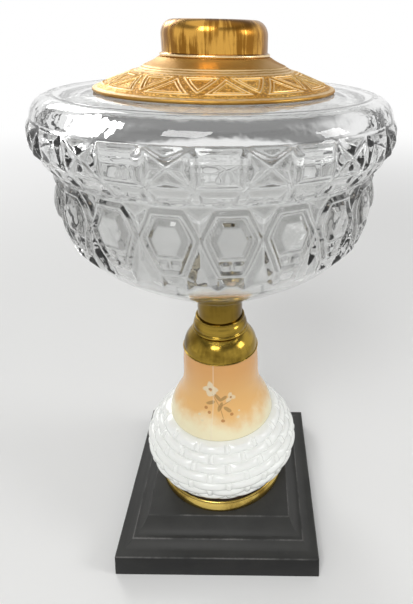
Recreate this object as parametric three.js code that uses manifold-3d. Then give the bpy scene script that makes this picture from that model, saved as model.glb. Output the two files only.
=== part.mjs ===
import * as THREE from "three";
import { mergeVertices } from "three/addons/utils/BufferGeometryUtils.js";
import Module from "manifold-3d";

// A table oil lamp without its burner: a pressed glass font on a milk glass stem and a cast-iron base.
// Millimetres, +Z up. The origin is the middle of the underside of the base, and the front faces -Y.

// Fits shared by all pieces
const fitClearance = 0.3;
const cutOverrun = 1;
const weldDistance = 0.0005;

// Tie rod, washer and nuts
const rodRadius = 3;
const rodEndLength = 2;
const nutWidth = 10;
const nutHeight = 4;
const washerRadius = 11;
const washerThickness = 1.5;

// Cast-iron base
const baseWidth = 127;
const baseDraft = 1.1;
const slabHeight = 16.2;
const lowerCoveRun = 9.55;
const lowerCoveRise = 4.6;
const upperCoveRun = 8.85;
const upperCoveRise = 10.6;
const baseWall = 5;
const bossRadius = 14;
const bossDepth = 5;

// Brass dish under the stem
const dishRadius = 42.2;
const dishHeight = 7.4;
const dishSheet = 1.2;
const dishRoll = 1;

// Milk glass stem: a smooth bell above a basket-weave bulb
const bulbRadius = 48.7;
const bulbEquatorHeight = 29.4;
const bulbLowerDepth = 31;
const bulbTopRadius = 35.3;
const bellLipHeight = 51.2;
const bellLipRadius = 33.6;
const bellLipOverhang = 1.2;
const bellHeight = 50.2;
const bellNeckRadius = 22.4;
const stemNeckHeight = 10.5;
const stemBoreRadius = 9;
const weaveFootHeight = 6.2;
const weaveRows = 10;
const weaveStakes = 26;
const strandLift = 1.2;
const stakeLift = 0.9;

// Plaster that beds the bulb in the dish
const beddingTopHeight = 4.2;
const beddingRimHeight = 1.6;

// Brass cap on the stem
const capRadius = 23;
const capDomeRadius = 22.3;
const capFlatRadius = 14.75;
const capHeight = 13;
const capLip = 1;
const capSheet = 0.8;

// Brass collar that steps from the cap to the cup
const stepRadius = 16.6;
const stepHeight = 9;
const stepBead = 1.1;

// Brass cup that holds the font
const cupRadius = 13.2;
const cupMouthRadius = 14.2;
const cupHeight = 23;
const cupMouthHeight = 5;
const cupSheet = 1;

// Pressed glass font
const fontRadius = 83.8;
const fontWaistRadius = 76.2;
const fontUndersideHeight = 41.5;
const hexagonBandHeight = 37;
const waistHeight = 1;
const blockBandHeight = 22.5;
const crownHeight = 8;
const crownCreaseRadius = 72.3;
const fontWall = 5;
const fontFloorHeight = 7;
const fontNeckRadius = 23.2;
const fontNeckHeight = 10.2;
const fontMouthRadius = 17.5;
const pegRadius = 8.6;
const pegLength = 12.2;
const hexagonLift = 1.4;
const blockLift = 1.2;
const hexagonCount = 20;
const blockCount = 15;

// Brass shoulder on the font
const shoulderRadius = 55.4;
const shoulderHeight = 13.7;
const shoulderTopRadius = 25.6;
const shoulderHoleRadius = 18.6;
const shoulderRim = 1.6;
const shoulderSheet = 0.9;
const zigzagCount = 13;
const zigzagLift = 0.6;

// Brass screw collar for the burner
const collarRadius = 23.9;
const collarBead = 1.2;
const collarWallHeight = 8.4;
const collarHeight = 14.6;
const collarLandRadius = 18.1;
const collarThroatRadius = 15.9;
const collarSheet = 1.1;
const collarSleeveDrop = 1.5;

// Facets round each turned piece
const fineFacets = 32;
const mediumFacets = 24;
const smallFacets = 20;

// Heights that follow from the pieces stacked on each other
const baseTopZ = slabHeight + lowerCoveRise + upperCoveRise;
const stemFootZ = baseTopZ + dishSheet;
const bulbEquatorZ = stemFootZ + bulbEquatorHeight;
const lipZ = stemFootZ + bellLipHeight;
const stemShoulderZ = lipZ + bellHeight;
const stemTopZ = stemShoulderZ + stemNeckHeight;
const capTopZ = stemShoulderZ + capHeight;
const capDomeZ = stemShoulderZ + capLip;
const cupRimZ = capTopZ + cupHeight;
const hexagonBandZ = cupRimZ + fontUndersideHeight;
const waistZ = hexagonBandZ + hexagonBandHeight;
const blockBandZ = waistZ + waistHeight;
const crownZ = blockBandZ + blockBandHeight;
const fontTopZ = crownZ + crownHeight;
const fontMouthZ = fontTopZ + fontNeckHeight;
const shoulderZ = fontTopZ + fitClearance;
const collarZ = shoulderZ + shoulderHeight;
const bossZ = baseTopZ - baseWall - bossDepth;

const degree = Math.PI / 180;
const wasm = await Module();
wasm.setup();

// A point at an angle from the front (-Y) towards the right (+X)
function polar(angle, radius, height) {
  return new THREE.Vector3(radius * Math.sin(angle), -radius * Math.cos(angle), height);
}

// Reads a table of [place, value] pairs, straight between its rows
function readTable(table, place) {
  let row = 1;
  while (row < table.length - 1 && place > table[row][0]) {
    row += 1;
  }
  const [startPlace, startValue] = table[row - 1];
  const [endPlace, endValue] = table[row];
  const part = (place - startPlace) / (endPlace - startPlace);
  return startValue + (endValue - startValue) * part;
}

// The dome of the cap is a part of an ellipse that ends at the flat top
const capDomeHeight = (capTopZ - capDomeZ) / Math.sqrt(1 - (capFlatRadius / capDomeRadius) ** 2);

function capInnerRadiusAt(height) {
  const share = (height - capDomeZ) / (capDomeHeight - capSheet);
  return (capDomeRadius - capSheet) * Math.sqrt(1 - share * share);
}

const stemNeckRadius = capInnerRadiusAt(stemTopZ) - 2 * fitClearance;

// Turns an outline of [radius, height] points about the Z axis
function turned(outline, facets, startAngle = 0) {
  const points = outline.map(([radius, height]) => new THREE.Vector2(radius, height));
  const geometry = new THREE.LatheGeometry(points, facets, startAngle);
  return geometry.rotateX(Math.PI / 2);
}

// The same for an outline that closes on itself
function turnedRing(outline, facets) {
  return turned([...outline, outline[0]], facets);
}

// A quarter of an ellipse as [radius, height] points, from its widest point to its top or bottom
function quarterEllipse(centreZ, radius, rise, startShare, endShare, steps) {
  const points = [];
  for (let step = 0; step <= steps; step++) {
    const share = startShare + ((endShare - startShare) * step) / steps;
    points.push([radius * Math.cos((share * Math.PI) / 2), centreZ + rise * Math.sin((share * Math.PI) / 2)]);
  }
  return points;
}

const angleOf = (corner) => Math.atan2(corner.x, -corner.y);

// The corners of a ring once round, from the one nearest to the front, with angles that never fall
function unwound(ring) {
  const fromFront = ring.map((corner) => Math.abs(angleOf(corner)));
  const first = fromFront.indexOf(Math.min(...fromFront));
  const closed = [...ring.slice(first), ...ring.slice(0, first), ring[first]];
  let last = -Math.PI;
  return closed.map((corner) => {
    const angle = angleOf(corner);
    last = angle < last ? angle + 2 * Math.PI : angle;
    return { corner, angle: last };
  });
}

// A closed surface put together from flat faces, whose corners run anticlockwise seen from outside
class Skin {
  constructor() {
    this.corners = [];
  }

  face(...corners) {
    for (let i = 1; i + 1 < corners.length; i++) {
      this.corners.push(corners[0], corners[i], corners[i + 1]);
    }
  }

  // Faces from a middle point to each side of an outline
  fan(middle, outline) {
    outline.forEach((corner, i) => this.face(middle, corner, outline[(i + 1) % outline.length]));
  }

  // Faces between two outlines with the same number of corners
  border(outer, inner) {
    outer.forEach((corner, i) => {
      const next = (i + 1) % outer.length;
      this.face(corner, outer[next], inner[next], inner[i]);
    });
  }

  // A pad that rises from an outline to a smaller flat one
  pad(outer, inner) {
    this.border(outer, inner);
    this.face(...inner);
  }

  // Walls between rings that follow each other along the outline of a turned shape
  strips(...rings) {
    for (let i = 1; i < rings.length; i++) {
      this.border(rings[i - 1], rings[i]);
    }
  }

  // A wall between two rings with any numbers of corners, joined in the order of their angles
  stitched(before, after) {
    const [near, far] = [before, after].map(unwound);
    let [i, j] = [0, 0];
    while (i + 1 < near.length || j + 1 < far.length) {
      const farIsDone = j + 1 === far.length;
      const nearIsNext = farIsDone || (i + 1 < near.length && near[i + 1].angle < far[j + 1].angle);
      if (nearIsNext) {
        this.face(near[i].corner, near[i + 1].corner, far[j].corner);
        i += 1;
      } else {
        this.face(near[i].corner, far[j + 1].corner, far[j].corner);
        j += 1;
      }
    }
  }

  geometry() {
    const loose = new THREE.BufferGeometry().setFromPoints(this.corners);
    return mergeVertices(loose, weldDistance);
  }
}

// The solid form of a closed mesh, for cuts and joins
function solid(geometry) {
  const bare = geometry.index ? geometry.toNonIndexed() : geometry;
  bare.deleteAttribute("normal");
  bare.deleteAttribute("uv");
  const welded = mergeVertices(bare, weldDistance);
  const sides = welded.index.array;
  const kept = [];
  for (let i = 0; i < sides.length; i += 3) {
    const [a, b, c] = [sides[i], sides[i + 1], sides[i + 2]];
    if (a !== b && b !== c && c !== a) {
      kept.push(a, b, c);
    }
  }
  const mesh = new wasm.Mesh({
    numProp: 3,
    vertProperties: new Float32Array(welded.attributes.position.array),
    triVerts: new Uint32Array(kept),
  });
  return new wasm.Manifold(mesh);
}

// The mesh of a solid after its cuts and joins
function meshed(cutSolid) {
  const { vertProperties, triVerts } = cutSolid.getMesh();
  const geometry = new THREE.BufferGeometry();
  geometry.setAttribute("position", new THREE.BufferAttribute(new Float32Array(vertProperties), 3));
  geometry.setIndex(new THREE.BufferAttribute(new Uint32Array(triVerts), 1));
  return geometry;
}

// An upright round bar between two heights
function bar(radius, bottomZ, topZ, facets) {
  return turned([[0, bottomZ], [radius, bottomZ], [radius, topZ], [0, topZ]], facets);
}

// An upright tube between two heights
function tube(innerRadius, outerRadius, bottomZ, topZ, facets) {
  const outline = [[innerRadius, bottomZ], [outerRadius, bottomZ], [outerRadius, topZ], [innerRadius, topZ]];
  return turnedRing(outline, facets);
}

// Materials

const brass = { color: 0xb98a3a, roughness: 0.3, metalness: 1 };
const paleBrass = { color: 0xa58a35, roughness: 0.25, metalness: 1 };
const castIron = { color: 0x2b2b2a, roughness: 0.75, metalness: 0.2 };
const milkGlass = { color: 0xeff0e8, roughness: 0.25, metalness: 0 };
const clearGlass = { color: 0xd9dcd8, roughness: 0.05, metalness: 0 };
const plaster = { color: 0xd8cba6, roughness: 0.9, metalness: 0 };
const darkPlaster = { color: 0x4a2f1a, roughness: 0.9, metalness: 0 };
const steel = { color: 0x8b8b88, roughness: 0.5, metalness: 1 };
const leather = { color: 0x6b5a45, roughness: 1, metalness: 0 };

const lamp = new THREE.Group();

function addPiece(name, geometry, finish) {
  geometry.computeVertexNormals();
  const piece = new THREE.Mesh(geometry, new THREE.MeshStandardMaterial(finish));
  piece.name = name;
  lamp.add(piece);
  return piece;
}

// Cast-iron base: a square slab and two coved steps, hollow underneath, with a boss for the rod

// How a cove climbs from its foot to its edge: [share of the run, share of the rise]
const coveShares = [[0, 0], [0.3, 0.08], [0.6, 0.28], [0.85, 0.63], [1, 1]];

function coveOutline(footHalfWidth, footZ, run, rise) {
  return coveShares.map(([runShare, riseShare]) => [
    footHalfWidth - run * runShare,
    footZ + rise * riseShare,
  ]);
}

// A shape with a square plan, from the half widths of its outline
function square(outline) {
  const corners = outline.map(([halfWidth, height]) => [halfWidth * Math.SQRT2, height]);
  return turned(corners, 4, Math.PI / 4);
}

function ironBase() {
  const half = baseWidth / 2;
  const middleHalf = half - lowerCoveRun;
  const topHalf = middleHalf - upperCoveRun;
  const outside = square([
    [0, 0],
    [half + baseDraft, 0],
    ...coveOutline(half, slabHeight, lowerCoveRun, lowerCoveRise),
    ...coveOutline(middleHalf, slabHeight + lowerCoveRise, upperCoveRun, upperCoveRise).slice(1),
    [0, baseTopZ],
  ]);
  const hollow = square([
    [0, -cutOverrun],
    [half - baseWall + baseDraft, -cutOverrun],
    [half - baseWall, slabHeight - baseWall],
    [middleHalf - baseWall, slabHeight + lowerCoveRise - baseWall],
    [topHalf - baseWall, baseTopZ - baseWall],
    [0, baseTopZ - baseWall],
  ]);
  const boss = bar(bossRadius, bossZ, baseTopZ - baseWall / 2, smallFacets);
  const bore = bar(rodRadius + fitClearance, bossZ - cutOverrun, baseTopZ + cutOverrun, smallFacets);
  return meshed(solid(outside).subtract(solid(hollow)).add(solid(boss)).subtract(solid(bore)));
}

addPiece("iron_base", ironBase(), castIron);

// Brass dish with a rolled rim

function stemDish() {
  const bore = rodRadius + fitClearance;
  const inner = dishRadius - dishRoll - dishSheet;
  const rimZ = baseTopZ + dishHeight;
  return turnedRing(
    [
      [bore, baseTopZ],
      [dishRadius - dishRoll, baseTopZ],
      [dishRadius - dishRoll / 2, baseTopZ + dishRoll],
      [dishRadius - dishRoll, baseTopZ + 2 * dishRoll],
      [dishRadius - dishRoll, rimZ - 2 * dishRoll],
      [dishRadius, rimZ - dishRoll],
      [dishRadius - dishRoll / 2, rimZ - dishRoll / 4],
      [dishRadius - dishRoll, rimZ],
      [inner, rimZ - dishRoll / 2],
      [inner, stemFootZ],
      [bore, stemFootZ],
    ],
    fineFacets
  );
}

addPiece("stem_dish", stemDish(), paleBrass);

// Milk glass stem: one thick casting with a bore for the rod

// The bulb above its equator: [share of the way up to the lip, share of the way in to its top radius]
const bulbShoulderShares = [
  [0, 0],
  [0.13, 0.015],
  [0.26, 0.09],
  [0.39, 0.215],
  [0.52, 0.37],
  [0.65, 0.54],
  [0.78, 0.71],
  [1, 1],
];

function bulbRadiusAt(height) {
  if (height > bulbEquatorZ) {
    const up = (height - bulbEquatorZ) / (lipZ - bulbEquatorZ);
    return bulbRadius - (bulbRadius - bulbTopRadius) * readTable(bulbShoulderShares, up);
  }
  const down = (bulbEquatorZ - height) / bulbLowerDepth;
  return bulbRadius * Math.sqrt(1 - down * down);
}

// Heights that cut the bulb into rows of the same length, measured along its outline
function evenHeights(bottomZ, topZ, rows) {
  const steps = 40 * rows;
  const heights = [];
  const lengths = [];
  for (let step = 0; step <= steps; step++) {
    const height = bottomZ + ((topZ - bottomZ) * step) / steps;
    const last = heights.at(-1) ?? height;
    const reach = Math.hypot(height - last, bulbRadiusAt(height) - bulbRadiusAt(last));
    heights.push(height);
    lengths.push((lengths.at(-1) ?? 0) + reach);
  }
  const table = lengths.map((length, i) => [length, heights[i]]);
  return Array.from({ length: rows + 1 }, (_, row) => readTable(table, (lengths.at(-1) * row) / rows));
}

// The bell from its lip to its neck: [share of the height, share of the way from neck to lip]
const bellShares = [
  [0, 1],
  [0.1, 0.9],
  [0.2, 0.72],
  [0.3, 0.48],
  [0.41, 0.26],
  [0.55, 0.13],
  [0.8, 0.09],
  [1, 0],
];

const bellZ = lipZ + bellLipOverhang;
const bellFlare = bellLipRadius - bellNeckRadius;
const bellRadiusAt = (share) => bellNeckRadius + bellFlare * readTable(bellShares, share);
const bellHeightAt = (share) => bellZ + (stemShoulderZ - bellZ) * share;

// Corners round the bell and the neck
const bellCorners = 32;

// Rings of the plain foot under the weave, as shares of its height
const footStepShares = [0, 0.25, 1];

// Half the width of a stake, as a share of the distance between two
const stakeHalfShare = 0.15;
// How far a strand's raised face stays from its ends and its edges, as shares of its length and height
const strandEndShare = 0.16;
const strandEdgeShare = 0.2;
// How wide the ridge down a stake stops short of its ends, as a share of the row
const stakeEndShare = 0.25;
const stakePhase = -5.6 * degree;
const stakeStep = (2 * Math.PI) / weaveStakes;

function stakeRing(radius, height) {
  const ring = [];
  for (let stake = 0; stake < weaveStakes; stake++) {
    for (const side of [-stakeHalfShare, stakeHalfShare]) {
      ring.push(polar(stakePhase + (stake + side) * stakeStep, radius, height));
    }
  }
  return ring;
}

function coarseRing(count, phase, radius, height) {
  const ring = [];
  for (let i = 0; i < count; i++) {
    ring.push(polar(phase + (i * 2 * Math.PI) / count, radius, height));
  }
  return ring;
}

// One row of the weave: strands that pass over every other stake, with the stakes between them in view
function weaveRow(skin, bottomZ, topZ, firstStake) {
  const at = (place, height, lift) =>
    polar(stakePhase + place * stakeStep, bulbRadiusAt(height) + lift, height);
  const rise = topZ - bottomZ;
  const near = stakeHalfShare;
  for (let stake = firstStake; stake < weaveStakes; stake += 2) {
    const ridgeLow = at(stake, bottomZ + rise * stakeEndShare, stakeLift);
    const ridgeHigh = at(stake, topZ - rise * stakeEndShare, stakeLift);
    const left = [at(stake - near, bottomZ, 0), at(stake - near, topZ, 0)];
    const right = [at(stake + near, bottomZ, 0), at(stake + near, topZ, 0)];
    skin.face(left[0], right[0], ridgeLow);
    skin.face(right[0], right[1], ridgeHigh, ridgeLow);
    skin.face(right[1], left[1], ridgeHigh);
    skin.face(left[1], left[0], ridgeLow, ridgeHigh);

    const places = [stake + near, stake + 1 - near, stake + 1 + near, stake + 2 - near];
    const low = places.map((place) => at(place, bottomZ, 0));
    const high = places.map((place) => at(place, topZ, 0));
    const faceLeft = places[0] + 2 * strandEndShare;
    const faceRight = places[3] - 2 * strandEndShare;
    const faceLow = bottomZ + rise * strandEdgeShare;
    const faceHigh = topZ - rise * strandEdgeShare;
    const raised = [
      at(faceLeft, faceLow, strandLift),
      at(faceRight, faceLow, strandLift),
      at(faceRight, faceHigh, strandLift),
      at(faceLeft, faceHigh, strandLift),
    ];
    skin.face(raised[0], ...low, raised[1]);
    skin.face(low[3], high[3], raised[2], raised[1]);
    skin.face(raised[2], ...high.toReversed(), raised[3]);
    skin.face(high[0], low[0], raised[0], raised[3]);
    skin.face(...raised);
  }
}

function stemGlass() {
  const skin = new Skin();
  const lipUnderRadius = bellLipRadius - bellLipOverhang;
  const weaveBottomZ = stemFootZ + weaveFootHeight;
  const rowHeights = evenHeights(weaveBottomZ, lipZ, weaveRows);
  const footRings = footStepShares.map((share) => {
    const height = stemFootZ + (weaveBottomZ - stemFootZ) * share;
    return stakeRing(bulbRadiusAt(height), height);
  });
  skin.strips(...footRings);
  for (let row = 0; row < weaveRows; row++) {
    weaveRow(skin, rowHeights[row], rowHeights[row + 1], row % 2);
  }

  const round = (radius, height) => coarseRing(bellCorners, 0, radius, height);
  const lipUnder = round(lipUnderRadius, lipZ + bellLipOverhang / 2);
  const bellRings = bellShares.map(([share]) => round(bellRadiusAt(share), bellHeightAt(share)));
  skin.stitched(stakeRing(bulbRadiusAt(lipZ), lipZ), lipUnder);
  skin.strips(
    lipUnder,
    ...bellRings,
    round(stemNeckRadius, stemShoulderZ),
    round(stemNeckRadius, stemTopZ),
    round(stemBoreRadius, stemTopZ),
    round(stemBoreRadius, stemFootZ)
  );
  skin.stitched(round(stemBoreRadius, stemFootZ), footRings[0]);
  return skin.geometry();
}

addPiece("stem_glass", stemGlass(), milkGlass);

// Plaster bedding that hugs the bulb inside the dish

function stemBedding() {
  const outer = dishRadius - dishRoll - dishSheet - fitClearance;
  const hugTop = stemFootZ + beddingTopHeight;
  const hug = [];
  const hugSteps = 4;
  const lowest = stemFootZ + fitClearance;
  for (let step = 0; step <= hugSteps; step++) {
    const height = hugTop + ((lowest - hugTop) * step) / hugSteps;
    hug.push([bulbRadiusAt(height + fitClearance) + fitClearance, height]);
  }
  const foot = hug[hugSteps][0];
  const rim = [[foot, stemFootZ], [outer, stemFootZ], [outer, stemFootZ + beddingRimHeight]];
  return turnedRing([...rim, ...hug], smallFacets);
}

addPiece("stem_bedding", stemBedding(), darkPlaster);

// Brass cap: a thin spun dome that stands on the shoulder of the stem

function stemCap() {
  const bore = rodRadius + fitClearance;
  const innerDomeHeight = capDomeHeight - capSheet;
  const innerTopZ = capTopZ - capSheet;
  const topShare = (Math.asin((capTopZ - capDomeZ) / capDomeHeight) * 2) / Math.PI;
  const innerTopShare = (Math.asin((innerTopZ - capDomeZ) / innerDomeHeight) * 2) / Math.PI;
  const domeSteps = 3;
  const outside = quarterEllipse(capDomeZ, capDomeRadius, capDomeHeight, 0, topShare, domeSteps);
  const inside = quarterEllipse(
    capDomeZ, capDomeRadius - capSheet, capDomeHeight - capSheet, 0, innerTopShare, domeSteps
  );
  return turnedRing(
    [
      [capDomeRadius - capSheet, stemShoulderZ],
      [capRadius, stemShoulderZ],
      [capRadius, stemShoulderZ + capLip / 2],
      ...outside,
      [bore, capTopZ],
      [bore, capTopZ - capSheet],
      ...inside.toReversed(),
    ],
    fineFacets
  );
}

addPiece("stem_cap", stemCap(), paleBrass);

// Leather washer between the glass and the cap
const capWasherTopZ = capTopZ - capSheet;
const capWasherRadius = capInnerRadiusAt(capWasherTopZ) - fitClearance;
const capWasher = tube(rodRadius + fitClearance, capWasherRadius, stemTopZ, capWasherTopZ, smallFacets);
addPiece("cap_washer", capWasher, leather);

// Brass step ring: a spun collar whose lip overhangs the dome

// Outline of the step ring: [share of the way from its neck to its lip, share of its height]
const stepShares = [[0.9, 0], [1, 0.1], [0.78, 0.36], [0.46, 0.55]];

function stepRing() {
  const bore = cupRadius + fitClearance;
  const neck = bore + stepBead / 2;
  const topZ = capTopZ + stepHeight;
  const outside = stepShares.map(([share, rise]) => [
    neck + (stepRadius - neck) * share,
    capTopZ + stepHeight * rise,
  ]);
  return turnedRing(
    [
      [bore, capTopZ],
      ...outside,
      [neck, topZ - stepBead],
      [neck + stepBead / 2, topZ - stepBead / 2],
      [neck, topZ],
      [bore, topZ],
    ],
    mediumFacets
  );
}

addPiece("step_ring", stepRing(), paleBrass);

// Brass cup that holds the peg of the font

function fontCup() {
  const bore = rodRadius + fitClearance;
  return turnedRing(
    [
      [bore, capTopZ],
      [cupRadius, capTopZ],
      [cupRadius, cupRimZ - cupMouthHeight],
      [cupMouthRadius, cupRimZ],
      [cupMouthRadius - cupSheet, cupRimZ],
      [cupRadius - cupSheet, cupRimZ - cupMouthHeight],
      [cupRadius - cupSheet, capTopZ + cupSheet],
      [bore, capTopZ + cupSheet],
    ],
    mediumFacets
  );
}

addPiece("font_cup", fontCup(), paleBrass);

// Plaster in the cup, round the nut below and the peg above

const nutCircleRadius = nutWidth / Math.sqrt(3);
const cupFloorZ = capTopZ + cupSheet;
const rodTopZ = cupFloorZ + nutHeight + rodEndLength;
const pegBottomZ = cupRimZ - pegLength;

function fontCement() {
  const outer = cupRadius - cupSheet - fitClearance;
  const nutPocket = nutCircleRadius + fitClearance;
  const bottomZ = cupFloorZ;
  const topZ = cupRimZ - fitClearance;
  const webZ = (rodTopZ + pegBottomZ) / 2;
  return turned(
    [
      [0, (rodTopZ + webZ) / 2],
      [nutPocket, (rodTopZ + webZ) / 2],
      [nutPocket, bottomZ],
      [outer, bottomZ],
      [outer, topZ],
      [pegRadius + fitClearance, topZ],
      [pegRadius + fitClearance, pegBottomZ - fitClearance],
      [0, pegBottomZ - fitClearance],
    ],
    smallFacets
  );
}

addPiece("font_cement", fontCement(), plaster);

// Pressed glass font

// Underside: [share of the height, share of the way from the cup to the hexagon band]
const undersideShares = [
  [0, 0],
  [0.02, 0.045],
  [0.145, 0.183],
  [0.338, 0.387],
  [0.571, 0.645],
  [0.808, 0.87],
  [1, 1],
];
// Plain radius of the hexagon band: [share of the height, share of the waist radius]
const hexagonBandShares = [[0, 0.94], [0.2, 0.971], [0.4, 0.995], [0.6, 1], [0.8, 0.988], [1, 1.005]];
// Plain radius of the block band: [share of the height, share of the font radius]
const blockBandShares = [
  [0, 0.924],
  [0.11, 0.939],
  [0.2, 0.956],
  [0.333, 0.982],
  [0.5, 0.998],
  [0.65, 1],
  [0.8, 0.995],
  [1, 0.983],
];

// Hexagon and its parts, as shares of the width and the height of one repeat
const hexagonOuterShares = [[0.27, 0.216], [0.73, 0.216], [1, 0.65], [0.77, 0.96], [0.23, 0.96], [0, 0.65]];
const hexagonInnerShares = [
  [0.33, 0.29],
  [0.67, 0.29],
  [0.86, 0.65],
  [0.71, 0.875],
  [0.29, 0.875],
  [0.14, 0.65],
];
const hexagonBarShares = [[0.2614, 0.42], [0.5, 0.42], [0.7386, 0.42]];
const hexagonMiddleShares = [0.5, 0.66];
// The two edges of a hexagon's flat raised border, as shares of its outline
const ridgeScaleShares = [0.93, 0.83];
const lensScaleShare = 0.6;
const squareScaleShare = 0.62;
const hexagonFootShare = 0.5;

const hexagonPitch = (2 * Math.PI) / hexagonCount;
const blockPitch = (2 * Math.PI) / blockCount;
const hexagonPhase = -1 * degree;
const blockPhase = -13.3 * degree;

function hexagonPoint(cell, share, rise, lift) {
  const radius = fontWaistRadius * readTable(hexagonBandShares, rise) + lift;
  const angle = hexagonPhase + (cell + share) * hexagonPitch;
  return polar(angle, radius, hexagonBandZ + hexagonBandHeight * rise);
}

function blockPoint(cell, share, rise, lift) {
  const radius = fontRadius * readTable(blockBandShares, rise) + lift;
  return polar(blockPhase + (cell + share) * blockPitch, radius, blockBandZ + blockBandHeight * rise);
}

// Moves an outline of shares towards its own middle
function shrunk(outline, scale) {
  const middle = [0, 1].map((axis) => outline.reduce((sum, point) => sum + point[axis], 0) / outline.length);
  return outline.map((point) => point.map((value, axis) => middle[axis] + (value - middle[axis]) * scale));
}

// One hexagon with its raised border, lens and two small squares, and the fans beside it
function hexagonCell(skin, cell) {
  const at = ([share, rise], lift) => hexagonPoint(cell, share, rise, lift);
  const all = (outline, lift) => outline.map((point) => at(point, lift));
  const outer = all(hexagonOuterShares, 0);
  const [ridgeOuter, ridge] = ridgeScaleShares.map((scale) =>
    all(shrunk(hexagonOuterShares, scale), hexagonLift)
  );
  const innerLift = hexagonLift * lensLiftShares.foot;
  const inner = all(hexagonInnerShares, innerLift);
  const bar = all(hexagonBarShares, innerLift);
  const footMiddleShare = [hexagonFootShare, hexagonInnerShares[0][1]];
  const footMiddle = at(footMiddleShare, innerLift);
  skin.border(outer, ridgeOuter);
  skin.border(ridgeOuter, ridge);
  skin.face(ridge[0], ridge[1], inner[1], footMiddle, inner[0]);
  skin.face(ridge[1], ridge[2], inner[2], bar[2], inner[1]);
  skin.face(ridge[2], ridge[3], inner[3], inner[2]);
  skin.face(ridge[3], ridge[4], inner[4], inner[3]);
  skin.face(ridge[4], ridge[5], inner[5], inner[4]);
  skin.face(ridge[0], inner[0], bar[0], inner[5], ridge[5]);

  const leftSquare = [hexagonInnerShares[0], footMiddleShare, hexagonBarShares[1], hexagonBarShares[0]];
  const rightSquare = [footMiddleShare, hexagonInnerShares[1], hexagonBarShares[2], hexagonBarShares[1]];
  const squareLift = hexagonLift * lensLiftShares.square;
  for (const outline of [leftSquare, rightSquare]) {
    skin.pad(all(outline, innerLift), all(shrunk(outline, squareScaleShare), squareLift));
  }

  const lens = [...hexagonBarShares, ...hexagonInnerShares.slice(2)];
  const lensTop = all(shrunk(lens, lensScaleShare), hexagonLift * lensLiftShares.edge);
  skin.border(all(lens, innerLift), lensTop);
  skin.fan(at(hexagonMiddleShares, hexagonLift * lensLiftShares.middle), lensTop);

  const [footLeft, footRight] = hexagonOuterShares;
  const [, , right, topRight, topLeft] = hexagonOuterShares;
  const nextFoot = [1 + footLeft[0], footLeft[1]];
  const nextTop = [1 + topLeft[0], topLeft[1]];
  const fanLift = hexagonLift * lensLiftShares.fan;
  const footOutline = [[footLeft[0], 0], [0.5, 0], [footRight[0], 0], footRight, footLeft];
  skin.fan(at(fanPlaceShares.foot, fanLift), all(footOutline, 0));
  skin.fan(
    at(fanPlaceShares.low, fanLift),
    all([[footRight[0], 0], [1, 0], [nextFoot[0], 0], nextFoot, right, footRight], 0)
  );
  skin.fan(
    at(fanPlaceShares.high, fanLift),
    all([right, nextTop, [nextTop[0], 1], [1, 1], [topRight[0], 1], topRight], 0)
  );
  skin.face(...all([topLeft, topRight, [topRight[0], 1], [0.5, 1], [topLeft[0], 1]], 0));
}

// How high the parts of a hexagon stand, as shares of its border's height, and where the fans peak
const lensLiftShares = { foot: 0.2, square: 0.8, edge: 0.75, middle: 1, fan: 0.7 };
const fanPlaceShares = { foot: [0.5, 0.12], low: [1, 0.28], high: [1, 0.87] };

const hexagonRingShares = (edgeIndex) => {
  const share = hexagonOuterShares[edgeIndex][0];
  return [0, share, 0.5, 1 - share];
};

function hexagonRing(shares, rise) {
  const ring = [];
  for (let cell = 0; cell < hexagonCount; cell++) {
    shares.forEach((share) => ring.push(hexagonPoint(cell, share, rise, 0)));
  }
  return ring;
}

// One cross and one block of the upper band, as shares of one repeat
const blockEdgeShares = [0, 0.25, 0.5, 0.67, 0.83];
const blockFootShare = 0.333;
const blockHeadShare = 0.956;
const blockFaceShares = [[0.56, 0.4], [0.94, 0.4], [0.94, 0.89], [0.56, 0.89]];
const tabFaceShares = [[0.56, 0.07], [0.94, 0.07], [0.94, 0.26], [0.56, 0.26]];
const dartShares = [0.25, 0.2];
const blockLiftShares = { tab: 0.7, dart: 0.5, cross: 0.15, wedge: 0.95 };

function blockCell(skin, cell) {
  const at = ([share, rise], lift) => blockPoint(cell, share, rise, lift);
  const all = (outline, lift) => outline.map((point) => at(point, lift));
  const [left, crossMiddle, middle, blockLeft, blockRight] = blockEdgeShares;
  const foot = blockFootShare;
  const head = blockHeadShare;

  const tab = all(tabFaceShares, blockLift * blockLiftShares.tab);
  skin.face(tab[0], ...all([[middle, 0], [blockLeft, 0], [blockRight, 0], [1, 0]], 0), tab[1]);
  skin.face(at([1, 0], 0), at([1, foot], 0), tab[2], tab[1]);
  skin.face(at([1, foot], 0), at([middle, foot], 0), tab[3], tab[2]);
  skin.face(at([middle, foot], 0), at([middle, 0], 0), tab[0], tab[3]);
  skin.face(...tab);
  const dart = at(dartShares, blockLift * blockLiftShares.dart);
  skin.fan(dart, all([[left, 0], [crossMiddle, 0], [middle, 0], [middle, foot], [left, foot]], 0));

  skin.pad(all([[middle, foot], [1, foot], [1, head], [middle, head]], 0), all(blockFaceShares, blockLift));

  const centreShares = [crossMiddle, (foot + head) / 2];
  const crossCentre = at(centreShares, blockLift * blockLiftShares.cross);
  const corners = [[left, foot], [middle, foot], [middle, head], [left, head]];
  corners.forEach((corner, i) => {
    const next = corners[(i + 1) % corners.length];
    const wedge = [0, 1].map((axis) => (corner[axis] + next[axis] + centreShares[axis]) / 3);
    skin.fan(at(wedge, blockLift * blockLiftShares.wedge), [at(corner, 0), at(next, 0), crossCentre]);
  });

  skin.face(...all([[left, head], [middle, head], [middle, 1], [crossMiddle, 1], [left, 1]], 0));
  skin.face(...all([[middle, head], [1, head], [1, 1], [blockRight, 1], [blockLeft, 1], [middle, 1]], 0));
}

function blockRing(rise) {
  const ring = [];
  for (let cell = 0; cell < blockCount; cell++) {
    blockEdgeShares.forEach((share) => ring.push(blockPoint(cell, share, rise, 0)));
  }
  return ring;
}

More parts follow.
